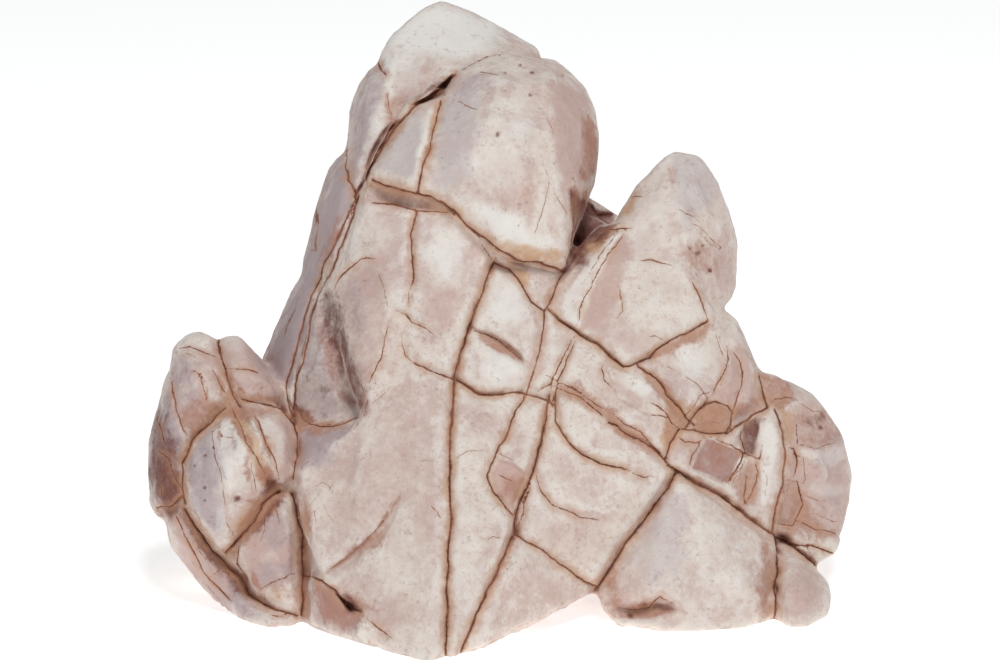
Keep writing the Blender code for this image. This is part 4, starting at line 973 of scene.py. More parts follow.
def inside(outline: tuple, spots: np.ndarray) -> np.ndarray:
    """How far each spot lies inside an outline.

    Args:
        outline: The corners of the outline.
        spots: The points of the view.

    Returns:
        The distances from the outline in millimetres, below 0 outside it.
    """
    steps, _, _ = nearest_on(outline + outline[:1], spots)
    distance = np.hypot(steps[:, 0], steps[:, 1])
    within = np.zeros(len(spots), bool)
    for (across, up), (next_across, next_up) in zip(outline, outline[1:] + outline[:1]):
        crosses = (up > spots[:, 1]) != (next_up > spots[:, 1])
        rise = (spots[:, 1] - up) / (next_up - up if next_up != up else 1)
        within ^= crosses & (spots[:, 0] < across + rise * (next_across - across))
    return np.where(within, distance, -distance)


def near_to(line: tuple, spots: np.ndarray, reach: float) -> np.ndarray:
    """Finds the spots that a line may reach.

    Args:
        line: The corners of the line.
        spots: The points of the view.
        reach: How far the line's own box is widened.

    Returns:
        The numbers of the spots in that box.
    """
    corners = np.array(line, float)
    low, high = corners.min(axis=0) - reach, corners.max(axis=0) + reach
    return np.flatnonzero(((spots > low) & (spots < high)).all(axis=1))


@dataclass
class Carving:
    """What the joints do to each point of the skin.

    way is the step to the nearest joint's line, in half widths of that line.
    """

    count: int
    groove: np.ndarray = field(init=False)
    brow: np.ndarray = field(init=False)
    rust: np.ndarray = field(init=False)
    way: np.ndarray = field(init=False)
    nearest: np.ndarray = field(init=False)

    def __post_init__(self) -> None:
        """Starts with no joint anywhere."""
        self.groove = np.zeros(self.count)
        self.brow = np.zeros(self.count)
        self.rust = np.zeros(self.count)
        self.way = np.zeros((self.count, 3))
        self.nearest = np.full(self.count, np.inf)

    def cut(self, wear: Wear, near: np.ndarray, steps: np.ndarray, weight: np.ndarray) -> None:
        """Adds one joint.

        Args:
            wear: The joint's kind.
            near: The numbers of the points that it may reach.
            steps: The step in space from each of them to the joint.
            weight: How fully the joint is there, 0 to 1.
        """
        kind = wear.value
        distance = np.linalg.norm(steps, axis=1)
        groove = kind.groove_depth * weight * (1 - smooth_step(distance, 0, kind.groove_width))
        brow = kind.brow_depth * weight * np.clip(1 - distance / kind.brow_width, 0, 1) ** 2
        rust = kind.rust * weight * np.exp(-((distance / RUST_REACH) ** 2))
        self.groove[near] = np.maximum(self.groove[near], groove)
        self.brow[near] = np.maximum(self.brow[near], brow)
        self.rust[near] = np.maximum(self.rust[near], rust)
        width = kind.core * np.clip(weight, LEAST_LINE, 1)
        ranked = distance / width
        closer = ranked < self.nearest[near]
        chosen = near[closer]
        self.nearest[chosen] = ranked[closer]
        self.way[chosen] = (steps / width[:, None])[closer]


class StoneSkin:
    """The stone's skin, in millimetres, while it is worked."""

    def __init__(self, node: bpy.types.Object, view: FrontView, voxel: float) -> None:
        """Grows an even skin over the solid part.

        Args:
            node: The solid part.
            view: The camera's view.
            voxel: The size of the skin's squares.
        """
        self.view = view
        solid = node.data.copy()
        solid.transform(node.matrix_world)
        places = np.empty(len(solid.vertices) * 3)
        solid.vertices.foreach_get("co", places)
        solid.vertices.foreach_set("co", places / MM)
        polygons = [tuple(polygon.vertices) for polygon in solid.polygons]
        self.screen = BVHTree.FromPolygons((places / MM).reshape(-1, 3).tolist(), polygons)
        self.body = bpy.data.objects.new("weathered_sandstone", solid)
        bpy.context.scene.collection.objects.link(self.body)
        remesh = self.body.modifiers.new("even_skin", "REMESH")
        remesh.mode = "VOXEL"
        remesh.voxel_size = voxel
        self.apply()

    def apply(self) -> None:
        """Makes the modifiers' result the mesh, and reads it."""
        bpy.context.view_layer.update()
        graph = bpy.context.evaluated_depsgraph_get()
        made = bpy.data.meshes.new_from_object(self.body.evaluated_get(graph))
        self.body.modifiers.clear()
        self.body.data = made
        self.read()

    def read(self) -> None:
        """Reads the points, normals and edges of the mesh."""
        mesh = self.body.data
        self.places = np.empty(len(mesh.vertices) * 3)
        mesh.vertices.foreach_get("co", self.places)
        self.places = self.places.reshape(-1, 3)
        self.edges = np.empty(len(mesh.edges) * 2, int)
        mesh.edges.foreach_get("vertices", self.edges)
        self.edges = self.edges.reshape(-1, 2)
        self.links = np.maximum(np.bincount(self.edges.ravel(), minlength=len(self.places)), 1)
        self.read_normals()

    def read_normals(self) -> None:
        """Reads the normals again."""
        self.normals = np.empty(len(self.places) * 3)
        self.body.data.vertices.foreach_get("normal", self.normals)
        self.normals = self.normals.reshape(-1, 3)

    def write(self) -> None:
        """Moves the mesh to where the points are now."""
        self.body.data.vertices.foreach_set("co", self.places.ravel())
        self.body.data.update()
        self.read_normals()

    def averaged(self, values: np.ndarray) -> np.ndarray:
        """Averages values over the neighbours.

        Args:
            values: A value for each point.

        Returns:
            The mean of each point's neighbours.
        """
        count = len(self.places)
        first, last = self.edges.T
        total = np.bincount(first, values[last], count) + np.bincount(last, values[first], count)
        return total / self.links

    def spread(self, values: np.ndarray, rounds: int) -> np.ndarray:
        """Evens values out over the neighbours.

        Args:
            values: A value for each point.
            rounds: How many times each is mixed with its neighbours' mean.

        Returns:
            The softer values.
        """
        for _ in range(rounds):
            values = (values + self.averaged(values)) / 2
        return values

    def soften(self, rounds: int) -> None:
        """Melts the facets away."""
        self.places = np.column_stack([self.spread(column, rounds) for column in self.places.T])
        self.write()

    def shown(self) -> np.ndarray:
        """Finds how far each point is in the eye's sight.

        Returns:
            0 for a hidden point, up to 1 for a shown one.
        """
        rays = self.view.rays(self.places)
        facing = smooth_step(-(self.normals * rays).sum(axis=1), *FACING)
        front = np.flatnonzero(facing > 0)
        starts = (self.places[front] - rays[front] * CLEAR_OF_SKIN).tolist()
        ways = (-rays[front]).tolist()
        for number, start, way in zip(front, starts, ways):
            if self.screen.ray_cast(start, way, SIGHT_REACH)[0] is not None:
                facing[number] = 0
        return self.spread(facing, SIGHT_ROUNDS)

    def joints(self, shown: np.ndarray) -> Carving:
        """Finds what all the joints do to the skin.

        Args:
            shown: How far each point is in the eye's sight.

        Returns:
            The joints' carving.
        """
        carving = Carving(len(self.places))
        waver = np.column_stack([waves(self.places, WAVER, shift) for shift in WAVER_SHIFTS])
        strength = np.clip(waves(self.places, STRENGTH, level=1), *STRENGTH_LIMITS)
        spots = self.view.spots(self.places) + waver[:, ::2]
        for joint in FRONT_JOINTS:
            near = near_to(joint.line, spots, JOINT_REACH)
            near = near[shown[near] > BARELY]
            steps, ends, _ = nearest_on(joint.line, spots[near])
            close = np.hypot(steps[:, 0], steps[:, 1]) < JOINT_REACH
            near, steps, ends = near[close], steps[close], ends[close]
            fading = FINE_END_STRENGTH if joint.wear in (FINE, HAIR) else END_STRENGTH
            weight = fading + (1 - fading) * smooth_step(ends, 0, END_LENGTH)
            weight = weight * shown[near] * strength[near]
            carving.cut(joint.wear, near, self.view.on_sheet(steps), weight)
        for plane in SIDE_JOINTS:
            self.cut_plane(carving, plane, waver, strength, shown)
        self.keep_apart(carving)
        return carving

    def cut_plane(
        self, carving: Carving, plane: JointPlane, waver: np.ndarray, strength: np.ndarray,
        shown: np.ndarray,
    ) -> None:
        """Cuts the sides with one joint plane.

        Args:
            carving: The carving that the joint is added to.
            plane: The joint.
            waver: How far each point is shifted, so that the line wavers.
            strength: How strong a joint is at each point.
            shown: How far each point is in the eye's sight.
        """
        normal = np.array(plane.normal) / np.linalg.norm(plane.normal)
        apart = self.places + PLANE_WAVER * waver - np.array(plane.point)
        height = apart @ normal
        tangent = normal - (self.normals @ normal)[:, None] * self.normals
        slope = np.linalg.norm(tangent, axis=1)
        near = (np.abs(height) < JOINT_REACH) & (slope > PLANE_SLOPE[0]) & (shown < WHOLLY)
        near = np.flatnonzero(near)
        steps = -height[near, None] * tangent[near] / slope[near, None] ** 2
        weight = (1 - shown[near]) * strength[near] * smooth_step(slope[near], *PLANE_SLOPE)
        away = np.linalg.norm(apart[near], axis=1)
        weight *= 1 - smooth_step(away, PLANE_CORE * plane.reach, plane.reach)
        keep = weight > BARELY
        carving.cut(plane.wear, near[keep], steps[keep], weight[keep])

    def keep_apart(self, carving: Carving) -> None:
        """Lifts the joints' mark off the skin away from them, so that no false line shows.

        Args:
            carving: The carving of all the joints.
        """
        distance = np.linalg.norm(carving.way, axis=1)
        lift = FAR_AWAY * smooth_step(distance, *LIFTED)
        carving.way += self.normals * lift[:, None]
        lost = ~np.isfinite(carving.nearest)
        carving.way[lost] = self.normals[lost] * FAR_AWAY

    def weather(self, scattered_pits: int) -> None:
        """Wears waves, joints and pits into the skin.

        Args:
            scattered_pits: How many pits the sides get.
        """
        self.sight = shown = self.shown()
        carving = self.joints(shown)
        relief = waves(self.places, RELIEF)
        facing = smooth_step(shown, *PUSHED)[:, None]
        way = self.view.rays(self.places) * facing - self.normals * (1 - facing)
        way /= np.linalg.norm(way, axis=1)[:, None]
        sunk = self.sunk(shown)
        self.depth = carving.groove + np.abs(sunk)
        sunk -= self.raised(shown)
        rays = self.view.rays(self.places)
        self.places = (self.places + way * (carving.groove + carving.brow)[:, None]
                       + rays * sunk[:, None] + self.normals * relief[:, None])
        self.dig_pits(shown)
        self.scatter_pits(shown, scattered_pits)
        self.write()

    def sunk(self, shown: np.ndarray) -> np.ndarray:
        """Finds how deep the hollows are.

        Args:
            shown: How far each point is in the eye's sight.

        Returns:
            How far each point is pushed away from the eye.
        """
        wavered = self.places / HOLLOW_WAVER
        spots = self.view.spots(self.places) + np.column_stack(
            [HOLLOW_SHIFT * lumps(wavered, 1, start) for start in HOLLOW_STARTS]
        )
        total = np.zeros(len(spots))
        for hollow in HOLLOWS:
            near = near_to(hollow.outline, spots, hollow.soft)
            within = inside(hollow.outline, spots[near])
            within = smooth_step(within, -HOLLOW_EDGE * hollow.soft, hollow.soft)
            total[near] += hollow.depth * within * shown[near]
        return total

    def raised(self, shown: np.ndarray) -> np.ndarray:
        """Finds how high the ridges are.

        Args:
            shown: How far each point is in the eye's sight.

        Returns:
            How far each point is lifted towards the eye.
        """
        spots = self.view.spots(self.places)
        total = np.zeros(len(spots))
        for ridge in RIDGES:
            near = near_to(ridge.line, spots, max(ridge.left, ridge.right))
            steps, ends, left = nearest_on(ridge.line, spots[near])
            reach = np.where(left, ridge.left, ridge.right)
            height = np.clip(1 - np.hypot(steps[:, 0], steps[:, 1]) / reach, 0, 1) ** 2
            height *= ridge.height * smooth_step(ends, *RIDGE_ENDS) * shown[near]
            total[near] = np.maximum(total[near], height)
        return total

    def dig_pits(self, shown: np.ndarray) -> None:
        """Digs the front's pits.

        Args:
            shown: How far each point is in the eye's sight.
        """
        spots = self.view.spots(self.places)
        rays = self.view.rays(self.places)
        for pit in PITS:
            distance = np.hypot(spots[:, 0] - pit.across, spots[:, 1] - pit.up)
            near = np.flatnonzero((distance < pit.radius * PIT_REACH) & (shown > SEEN))
            depth = pit.depth * (1 - smooth_step(distance[near], 0, pit.radius * PIT_REACH))
            self.places[near] += rays[near] * depth[:, None]

    def scatter_pits(self, shown: np.ndarray, count: int) -> None:
        """Digs pits at random places of the sides.

        Args:
            shown: How far each point is in the eye's sight.
            count: How many pits there are.
        """
        chance = np.random.default_rng(SCATTERED_SEED)
        for middle in self.places[chance.choice(np.flatnonzero(shown < HIDDEN), count)]:
            radius = chance.uniform(*SCATTERED_RADII)
            distance = np.linalg.norm(self.places - middle, axis=1)
            near = np.flatnonzero(distance < radius)
            depth = SCATTERED_DEPTH * radius * (1 - smooth_step(distance[near], 0, radius))
            self.places[near] -= self.normals[near] * depth[:, None]

    def raise_screen(self) -> None:
        """Takes the skin as it is now for what hides a place from the eye or the light."""
        triangles = [tuple(polygon.vertices) for polygon in self.body.data.polygons]
        self.screen = BVHTree.FromPolygons(self.places.tolist(), triangles)

    def thin(self, most_triangles: int) -> None:
        """Leaves the fine mesh where joints run, and a coarser one elsewhere.

        Args:
            most_triangles: How many triangles may be left.
        """
        hidden = self.sight < HIDDEN
        carved = (self.depth > CARVED_DEPTH).astype(float)
        carved = self.spread(carved, CARVED_ROUNDS) > CARVED_EDGE
        thin = self.body.vertex_groups.new(name="thin")
        for weight, chosen in zip(THINNING, (~carved & hidden, ~carved & ~hidden, carved & hidden)):
            thin.add(np.flatnonzero(chosen).tolist(), weight, "REPLACE")
        triangles = sum(len(polygon.vertices) - 2 for polygon in self.body.data.polygons)
        fewer = self.body.modifiers.new("fewer_faces", "DECIMATE")
        fewer.ratio = most_triangles / triangles
        fewer.use_collapse_triangulate = True
        fewer.vertex_group = thin.name
        fewer.vertex_group_factor = THINNING_PULL
        self.apply()
        self.body.vertex_groups.clear()

    def flatten_foot(self, height: float) -> None:
        """Sets everything lower than this flat on the ground."""
        self.places[self.places[:, 2] < height, 2] = 0
        self.write()

    def shade(self) -> np.ndarray:
        """Finds how closed in each point is, from rays in all directions that leave the skin, for the
        finish to paint as shade.

        Returns:
            0 for an open point, up to 1 for a closed-in one.
        """
        chance = np.random.default_rng(SHADE_SEED)
        around = chance.normal(size=(SHADE_RAYS, 3))
        around /= np.linalg.norm(around, axis=1)[:, None]
        blocked = np.zeros(len(self.places))
        starts = (self.places + self.normals * SHADE_START).tolist()
        for way in around:
            ways = self.normals + way
            ways /= np.maximum(np.linalg.norm(ways, axis=1), TINY)[:, None]
            ways = ways.tolist()
            for number, start in enumerate(starts):
                distance = self.screen.ray_cast(start, ways[number], SHADE_REACH)[3]
                if distance is not None:
                    blocked[number] += 1 - distance / SHADE_REACH
        return self.spread(blocked / SHADE_RAYS, SHADE_ROUNDS)

    def mark(self, name: str, values: np.ndarray) -> None:
        """Stores a value, or a direction, at each point for the finish to read.

        Args:
            name: The name that the finish reads it by.
            values: The values, or the directions.
        """
        kind = "FLOAT" if values.ndim == 1 else "FLOAT_VECTOR"
        field_name = "value" if values.ndim == 1 else "vector"
        made = self.body.data.attributes.new(name, kind, "POINT")
        made.data.foreach_set(field_name, values.astype(np.float32).ravel())

    def mark_all(self) -> None:
        """Stores the joints, the rust, how closed in each point is for the painted shade, the edges,
        and the tints with their stains and painted shade.
        """
        shown = self.shown()
        carving = self.joints(shown)
        self.mark("joint_way", carving.way)
        self.mark("rust_halo", carving.rust)
        # How closed in each point is, which the finish paints as shade
        self.mark("shade", self.shade())
        around = np.column_stack([self.averaged(column) for column in self.places.T])
        raised = ((self.places - around) * self.normals).sum(axis=1)
        self.mark("edge", np.clip(self.spread(raised, EDGE_ROUNDS) * EDGE_GAIN, -1, 1))
        drawn = self.view.spots(self.places)
        smudge = np.column_stack([waves(self.places, SMUDGE, shift) for shift in SMUDGE_SHIFTS])
        for tint in Tint:
            front = self.spot_amount(tint, drawn + smudge)
            front = np.maximum(front, self.patched(tint, drawn, smudge))
            # The pits' painted shade joins the umber tint
            if tint is UMBER:
                front = np.maximum(front, self.pit_shade(drawn))
            self.mark(tint.value, np.maximum((1 - shown) * self.side_tint(tint), shown * front))

    def spot_amount(self, tint: Tint, spots: np.ndarray) -> np.ndarray:
        """Finds how much the tinted spots of a tint colour the front: stains, and for umber also
        painted shade.

        Args:
            tint: The tint.
            spots: Where each point is looked up among the tinted spots.

        Returns:
            The strength at each point.
        """
        amount = np.zeros(len(spots))
        for tint_spot in (tint_spot for tint_spot in TINT_SPOTS if tint_spot.tint is tint):
            turn = math.radians(tint_spot.turn)
            across = spots[:, 0] - tint_spot.across
            up = spots[:, 1] - tint_spot.up
            along = (across * math.cos(turn) + up * math.sin(turn)) / tint_spot.wide
            beside = (up * math.cos(turn) - across * math.sin(turn)) / tint_spot.high
            within = 1 - smooth_step(np.hypot(along, beside), *TINT_SPOT_EDGE)
            amount = np.maximum(amount, tint_spot.strength * within)
        return amount

    def patched(self, tint: Tint, drawn: np.ndarray, smudge: np.ndarray) -> np.ndarray:
        """Finds how much the patches of a tint colour the front: stains, and in places painted shade.

        Args:
            tint: The tint.
            drawn: Where the view shows each point.
            smudge: How far each point is shifted, so that the patches' edges waver.

        Returns:
            The strength at each point.
        """
        amount = np.zeros(len(drawn))
        for patch in (patch for patch in PATCHES if patch.tint is tint):
            spots = drawn + smudge * min(1, patch.soft / CRISP)
            near = near_to(patch.outline, spots, patch.soft)
            within = smooth_step(inside(patch.outline, spots[near]), -patch.soft, patch.soft)
            amount[near] = np.maximum(amount[near], patch.strength * within)
        return amount

    def pit_shade(self, drawn: np.ndarray) -> np.ndarray:
        """Finds the painted shade in the pits.

        Args:
            drawn: Where the view shows each point.

        Returns:
            The strength at each point.
        """
        amount = np.zeros(len(drawn))
        for pit in PITS:
            distance = np.hypot(drawn[:, 0] - pit.across, drawn[:, 1] - pit.up)
            low, high = (share * pit.radius for share in PIT_SHADE_REACH)
            amount = np.maximum(amount, PIT_SHADE * (1 - smooth_step(distance, low, high)))
        return amount

    def side_tint(self, tint: Tint) -> np.ndarray:
        """Finds how much a tint colours the places that the view doesn't show.

        Args:
            tint: The tint.

        Returns:
            The strength at each point.
        """
        size, low, most = SIDE_TINTS[tint]
        start = SIDE_STEP * len(tint.value) + size
        return most * smooth_step(lumps(self.places, size, start), low, low + SIDE_SOFTNESS)

    def finish(self) -> None:
        """Turns the skin back to metres and shades it smoothly."""
        self.body.data.vertices.foreach_set("co", (self.places * MM).ravel())
        self.body.data.polygons.foreach_set("use_smooth", [True] * len(self.body.data.polygons))
        self.body.data.update()


def colour(red: float, green: float, blue: float) -> tuple[float, float, float, float]:
    """Makes a colour for a shader from the one that a screen shows.

    Args:
        red: Its red, 0 to 255.
        green: Its green, 0 to 255.
        blue: Its blue, 0 to 255.

    Returns:
        The colour in linear light, 0 to 1, with its alpha.
    """
    parts = []
    for part in (red, green, blue):
        share = part / 255
        parts.append(share / 12.92 if share <= 0.04045 else ((share + 0.055) / 1.055) ** 2.4)
    return (*parts, 1.0)


class Graph:
    """A node tree, with short ways to add nodes to it."""

    def __init__(self, tree: bpy.types.NodeTree) -> None:
        """Works on this tree."""
        self.tree = tree

    def add(self, kind: str, **settings: object) -> bpy.types.Node:
        """Adds a node.

        Args:
            kind: The node's type.
            **settings: Its properties, by name.

        Returns:
            The node.
        """
        node = self.tree.nodes.new(kind)
        for name, value in settings.items():
            setattr(node, name, value)
        return node

    def feed(self, socket: Socket, value: Value) -> None:
        """Links a socket to another, or sets it to a value.

        Args:
            socket: The input.
            value: The output that feeds it, or its value.
        """
        if isinstance(value, Socket):
            self.tree.links.new(value, socket)
        else:
            socket.default_value = value

    def calculate(self, operation: str, first: Value, second: Value = 0.0) -> Socket:
        """Works out a value from two others.

        Args:
            operation: The Math node's operation.
            first: The first value.
            second: The second value.

        Returns:
            The result.
        """
        node = self.add("ShaderNodeMath", operation=operation)
        self.feed(node.inputs[0], first)
        self.feed(node.inputs[1], second)
        return node.outputs[0]

    def between(
        self, value: Value, low: float, high: float, start: float = 0.0, end: float = 1.0,
    ) -> Socket:
        """Turns a value's place between two limits into another value, on an even curve.

        Args:
            value: The value.
            low: The limit that gives the start.
            high: The limit that gives the end.
            start: The result at and before the low limit.
            end: The result at and past the high limit.

        Returns:
            The result.
        """
        node = self.add("ShaderNodeMapRange", interpolation_type="SMOOTHSTEP")
        for name, number in (
            ("Value", value), ("From Min", low), ("From Max", high), ("To Min", start),
            ("To Max", end),
        ):
            self.feed(node.inputs[name], number)
        return node.outputs["Result"]

    def mix(self, share: Value, first: Value, second: Value) -> Socket:
        """Mixes two colours.

        Args:
            share: How much of the second there is.
            first: The first colour.
            second: The second colour.

        Returns:
            The mixed colour.
        """
        node = self.add("ShaderNodeMix", data_type="RGBA", clamp_factor=True)
        self.feed(node.inputs[0], share)
        self.feed(node.inputs[6], first)
        self.feed(node.inputs[7], second)
        return node.outputs[2]

    def noise(
        self, place: Socket, scale: float, detail: float = 2.0, distortion: float = 0.0,
    ) -> Socket:
        """Adds noise.

        Args:
            place: Where it is read.
            scale: How many waves a metre has.
            detail: How many finer sizes it has.
            distortion: How much it is bent.

        Returns:
            The noise, 0 to 1.
        """
        node = self.add("ShaderNodeTexNoise")
        self.feed(node.inputs["Vector"], place)
        node.inputs["Scale"].default_value = scale
        node.inputs["Detail"].default_value = detail
        node.inputs["Roughness"].default_value = NOISE_ROUGHNESS
        node.inputs["Distortion"].default_value = distortion
        return node.outputs["Fac"]

    def mask(self, name: str) -> Socket:
        """The value that the skin stores under this name."""
        return self.add("ShaderNodeAttribute", attribute_name=name).outputs["Fac"]

    def effect(self, group: bpy.types.NodeTree, place: Socket) -> bpy.types.Node:
        """Adds a shared effect.

        Args:
            group: The effect.
            place: Where it is read.

        Returns:
            Its node.
        """
        node = self.add("ShaderNodeGroup", node_tree=group)
        self.feed(node.inputs["Place"], place)
        return node


@dataclass(frozen=True)
class SharedEffects:
    """Shader effects for the finishes. Each is read at its Place.

    Each blotch is its name, the scale of its noise, its detail and how much it is bent.
    """

    blotches: tuple = (("Broad", 42, 3, 0.6), ("Middle", 150, 4, 0.4), ("Fine", 620, 3, 0))
    sand_scale: float = 2600
    dent_scale: float = 700
    sand_share: float = 0.4

    def start(self, name: str, outputs: tuple) -> tuple[Graph, Socket, Sockets]:
        """Starts a new effect.

        Args:
            name: The effect's name.
            outputs: The names of the values that it puts out.

        Returns:
            The effect's graph, its Place and its outputs.
        """
        tree = bpy.data.node_groups.new(name, "ShaderNodeTree")
        tree.interface.new_socket("Place", in_out="INPUT", socket_type="NodeSocketVector")
        for label in outputs:
            tree.interface.new_socket(label, in_out="OUTPUT", socket_type="NodeSocketFloat")
        graph = Graph(tree)
        place = graph.add("NodeGroupInput").outputs["Place"]
        return graph, place, graph.add("NodeGroupOutput").inputs

    def mottle(self) -> bpy.types.NodeTree:
        """Makes blotches of three sizes.

        Returns:
            The effect, which puts out a value from 0 to 1 for each size.
        """
        graph, place, taken = self.start("mottle", tuple(name for name, *_ in self.blotches))
        for name, *sizes in self.blotches:
            graph.feed(taken[name], graph.noise(place, *sizes))
        return graph.tree

    def grain(self) -> bpy.types.NodeTree:
        """Makes fine sand grains and small dents.

        Returns:
            The effect, which puts out their height.
        """
        graph, place, taken = self.start("grain", ("Height",))
        sand = graph.noise(place, self.sand_scale, 2)
        dents = graph.noise(place, self.dent_scale, 3)
        total = graph.calculate("MULTIPLY_ADD", dents, 1 - self.sand_share)
        graph.feed(total.node.inputs[2], graph.calculate("MULTIPLY", sand, self.sand_share))
        graph.feed(taken["Height"], total)
        return graph.tree


@dataclass(frozen=True)
class SandstoneFinish:
    """The stone's colours, the painted shade of its closed-in places, and its grain.

    Each tint is the mask's tint, its colour and how much of it there is at most. Each drift is
    the scale of a noise, and its colours: from and to which value, how much at most, and which.
    The other ranges say from and to which value a thing changes, and its amounts there.
    """

    cream: tuple = (230, 216, 204)
    blush: tuple = (211, 188, 179)
    milk: tuple = (239, 232, 224)
    # Painted shade of the most closed-in places
    umber: tuple = (84, 42, 34)
    line: tuple = (92, 46, 32)
    faint_line: tuple = (142, 88, 66)
    line_edge: tuple = (178, 126, 100)
    # Painted shade of closed-in places, such as the gaps
    gap: tuple = (150, 102, 92)
    halo: tuple = (204, 160, 128)
    speck: tuple = (160, 112, 98)
    dust: tuple = (192, 156, 144)
    tints: tuple = (
        (LILAC, (208, 196, 194), 0.8), (PINK, (203, 170, 160), 0.8),
        (PALE, (243, 238, 231), 0.85), (MAUVE, (180, 160, 163), 0.85),
        (OCHRE, (204, 158, 116), 0.8), (RUST, (178, 124, 102), 0.8),
        (UMBER, (112, 58, 48), 0.9),
    )
    drifts: tuple = (
        (1300, (0.46, 0.7, 0.16, dust), (0.5, 0.3, 0.16, milk)),
        (130, (0.48, 0.7, 0.4, blush), (0.48, 0.3, 0.4, milk)),
        (420, (0.54, 0.66, 0.34, dust), (0.44, 0.34, 0.34, milk)),
    )
    blushing: tuple = (0.38, 0.62)
    milkiness: tuple = (0.5, 0.68, 0, 0.55)
    pale_edges: tuple = (0.15, 0.8, 0, 0.6)
    fine_share: float = 0.5
    usual_blotch: float = 0.75
    stain_raggedness: float = 1.2
    stain_growth: tuple = (0.05, 1.0)
    specks: tuple = (0.66, 0.76, 0, 0.6)
    rust_unevenness: tuple = (0.3, 0.6, 0.5, 1.2)
    halo_growth: tuple = (0.1, 0.9, 0, 0.68)
    shade_mottle: float = 0.12
    gap_shade_growth: tuple = (0.3, 0.62, 0, 0.6)
    deep_shade_growth: tuple = (0.5, 0.8, 0, 0.9)
    line_scale: float = 900
    line_raggedness: float = 1.6
    fading_scale: float = 55
    fading: tuple = (0.38, 0.62)
    line_edge_fall: tuple = (1.0, 3.4, 0.7, 0)
    line_fall: tuple = (0.5, 1.5, 0.95, 0)
    roughness: tuple = (0.3, 0.7, 0.6, 0.82)
    specular: float = 0.35
    grain_strength: float = 0.5
    grain_height: float = 0.6

    def build(self, mottle: bpy.types.NodeTree, grain: bpy.types.NodeTree) -> bpy.types.Material:
        """Makes the finish.

        Args:
            mottle: The shared blotches.
            grain: The shared grain.

        Returns:
            The material.
        """
        material = bpy.data.materials.new("sandstone_skin")
        material.use_nodes = True
        graph = Graph(material.node_tree)
        surface = material.node_tree.nodes["Principled BSDF"]
        place = graph.add("ShaderNodeTexCoord").outputs["Object"]
        blotches = graph.effect(mottle, place)
        broad, middle, fine = (blotches.outputs[name] for name in ("Broad", "Middle", "Fine"))
        look = self.mottled(graph, broad, middle)
        look = self.drifted(graph, look, place)
        look = self.tinted(graph, look, middle, fine)
        look = self.jointed(graph, look, place, middle)
        graph.feed(surface.inputs["Base Color"], look)
        graph.feed(surface.inputs["Roughness"], graph.between(middle, *self.roughness))
        surface.inputs["Specular IOR Level"].default_value = self.specular
        height = graph.effect(grain, place).outputs["Height"]
        bump = graph.add("ShaderNodeBump")
        bump.inputs["Strength"].default_value = self.grain_strength
        bump.inputs["Distance"].default_value = self.grain_height * MM
        graph.feed(bump.inputs["Height"], height)
        graph.feed(surface.inputs["Normal"], bump.outputs["Normal"])
        return material

    def mottled(self, graph: Graph, broad: Socket, middle: Socket) -> Socket:
        """Makes the bare stone's colour, with paler edges.

        Args:
            graph: The material's graph.
            broad: The broad blotches.
            middle: The middle-sized blotches.

        Returns:
            The colour.
        """
        milk = colour(*self.milk)
        blushing = graph.between(broad, *self.blushing)
        look = graph.mix(blushing, colour(*self.cream), colour(*self.blush))
        look = graph.mix(graph.between(middle, *self.milkiness), look, milk)
        return graph.mix(graph.between(graph.mask("edge"), *self.pale_edges), look, milk)

    def drifted(self, graph: Graph, look: Socket, place: Socket) -> Socket:
        """Adds dust, and drifts and chips of paler and darker stone.

        Args:
            graph: The material's graph.
            look: The colour so far.
            place: The place on the stone.

        Returns:
            The colour.
        """
        for scale, *parts in self.drifts:
            drift = graph.noise(place, scale, 3)
            for low, high, most, shown_colour in parts:
                share = graph.between(drift, low, high, 0, most)
                look = graph.mix(share, look, colour(*shown_colour))
        return look

    def tinted(self, graph: Graph, look: Socket, middle: Socket, fine: Socket) -> Socket:
        """Adds the stains, with ragged edges, and dark specks.

        Args:
            graph: The material's graph.
            look: The colour so far.
            middle: The middle-sized blotches.
            fine: The fine blotches.

        Returns:
            The colour.
        """
        ragged = graph.calculate("MULTIPLY", fine, self.fine_share)
        ragged = graph.calculate("ADD", middle, ragged)
        ragged = graph.calculate("SUBTRACT", ragged, self.usual_blotch)
        ragged = graph.calculate("MULTIPLY", ragged, self.stain_raggedness)
        for tint, shown_colour, most in self.tints:
            amount = graph.calculate("ADD", graph.mask(tint.value), ragged)
            share = graph.between(amount, *self.stain_growth, 0, most)
            look = graph.mix(share, look, colour(*shown_colour))
        return graph.mix(graph.between(fine, *self.specks), look, colour(*self.speck))

    def jointed(self, graph: Graph, look: Socket, place: Socket, middle: Socket) -> Socket:
        """Adds the rust along the joints, the painted shade of the closed-in places and the dark lines
        of the joints.

        Args:
            graph: The material's graph.
            look: The colour so far.
            place: The place on the stone.
            middle: The middle-sized blotches.

        Returns:
            The colour.
        """
        uneven = graph.between(middle, *self.rust_unevenness)
        rusty = graph.calculate("MULTIPLY", graph.mask("rust_halo"), uneven)
        look = graph.mix(graph.between(rusty, *self.halo_growth), look, colour(*self.halo))
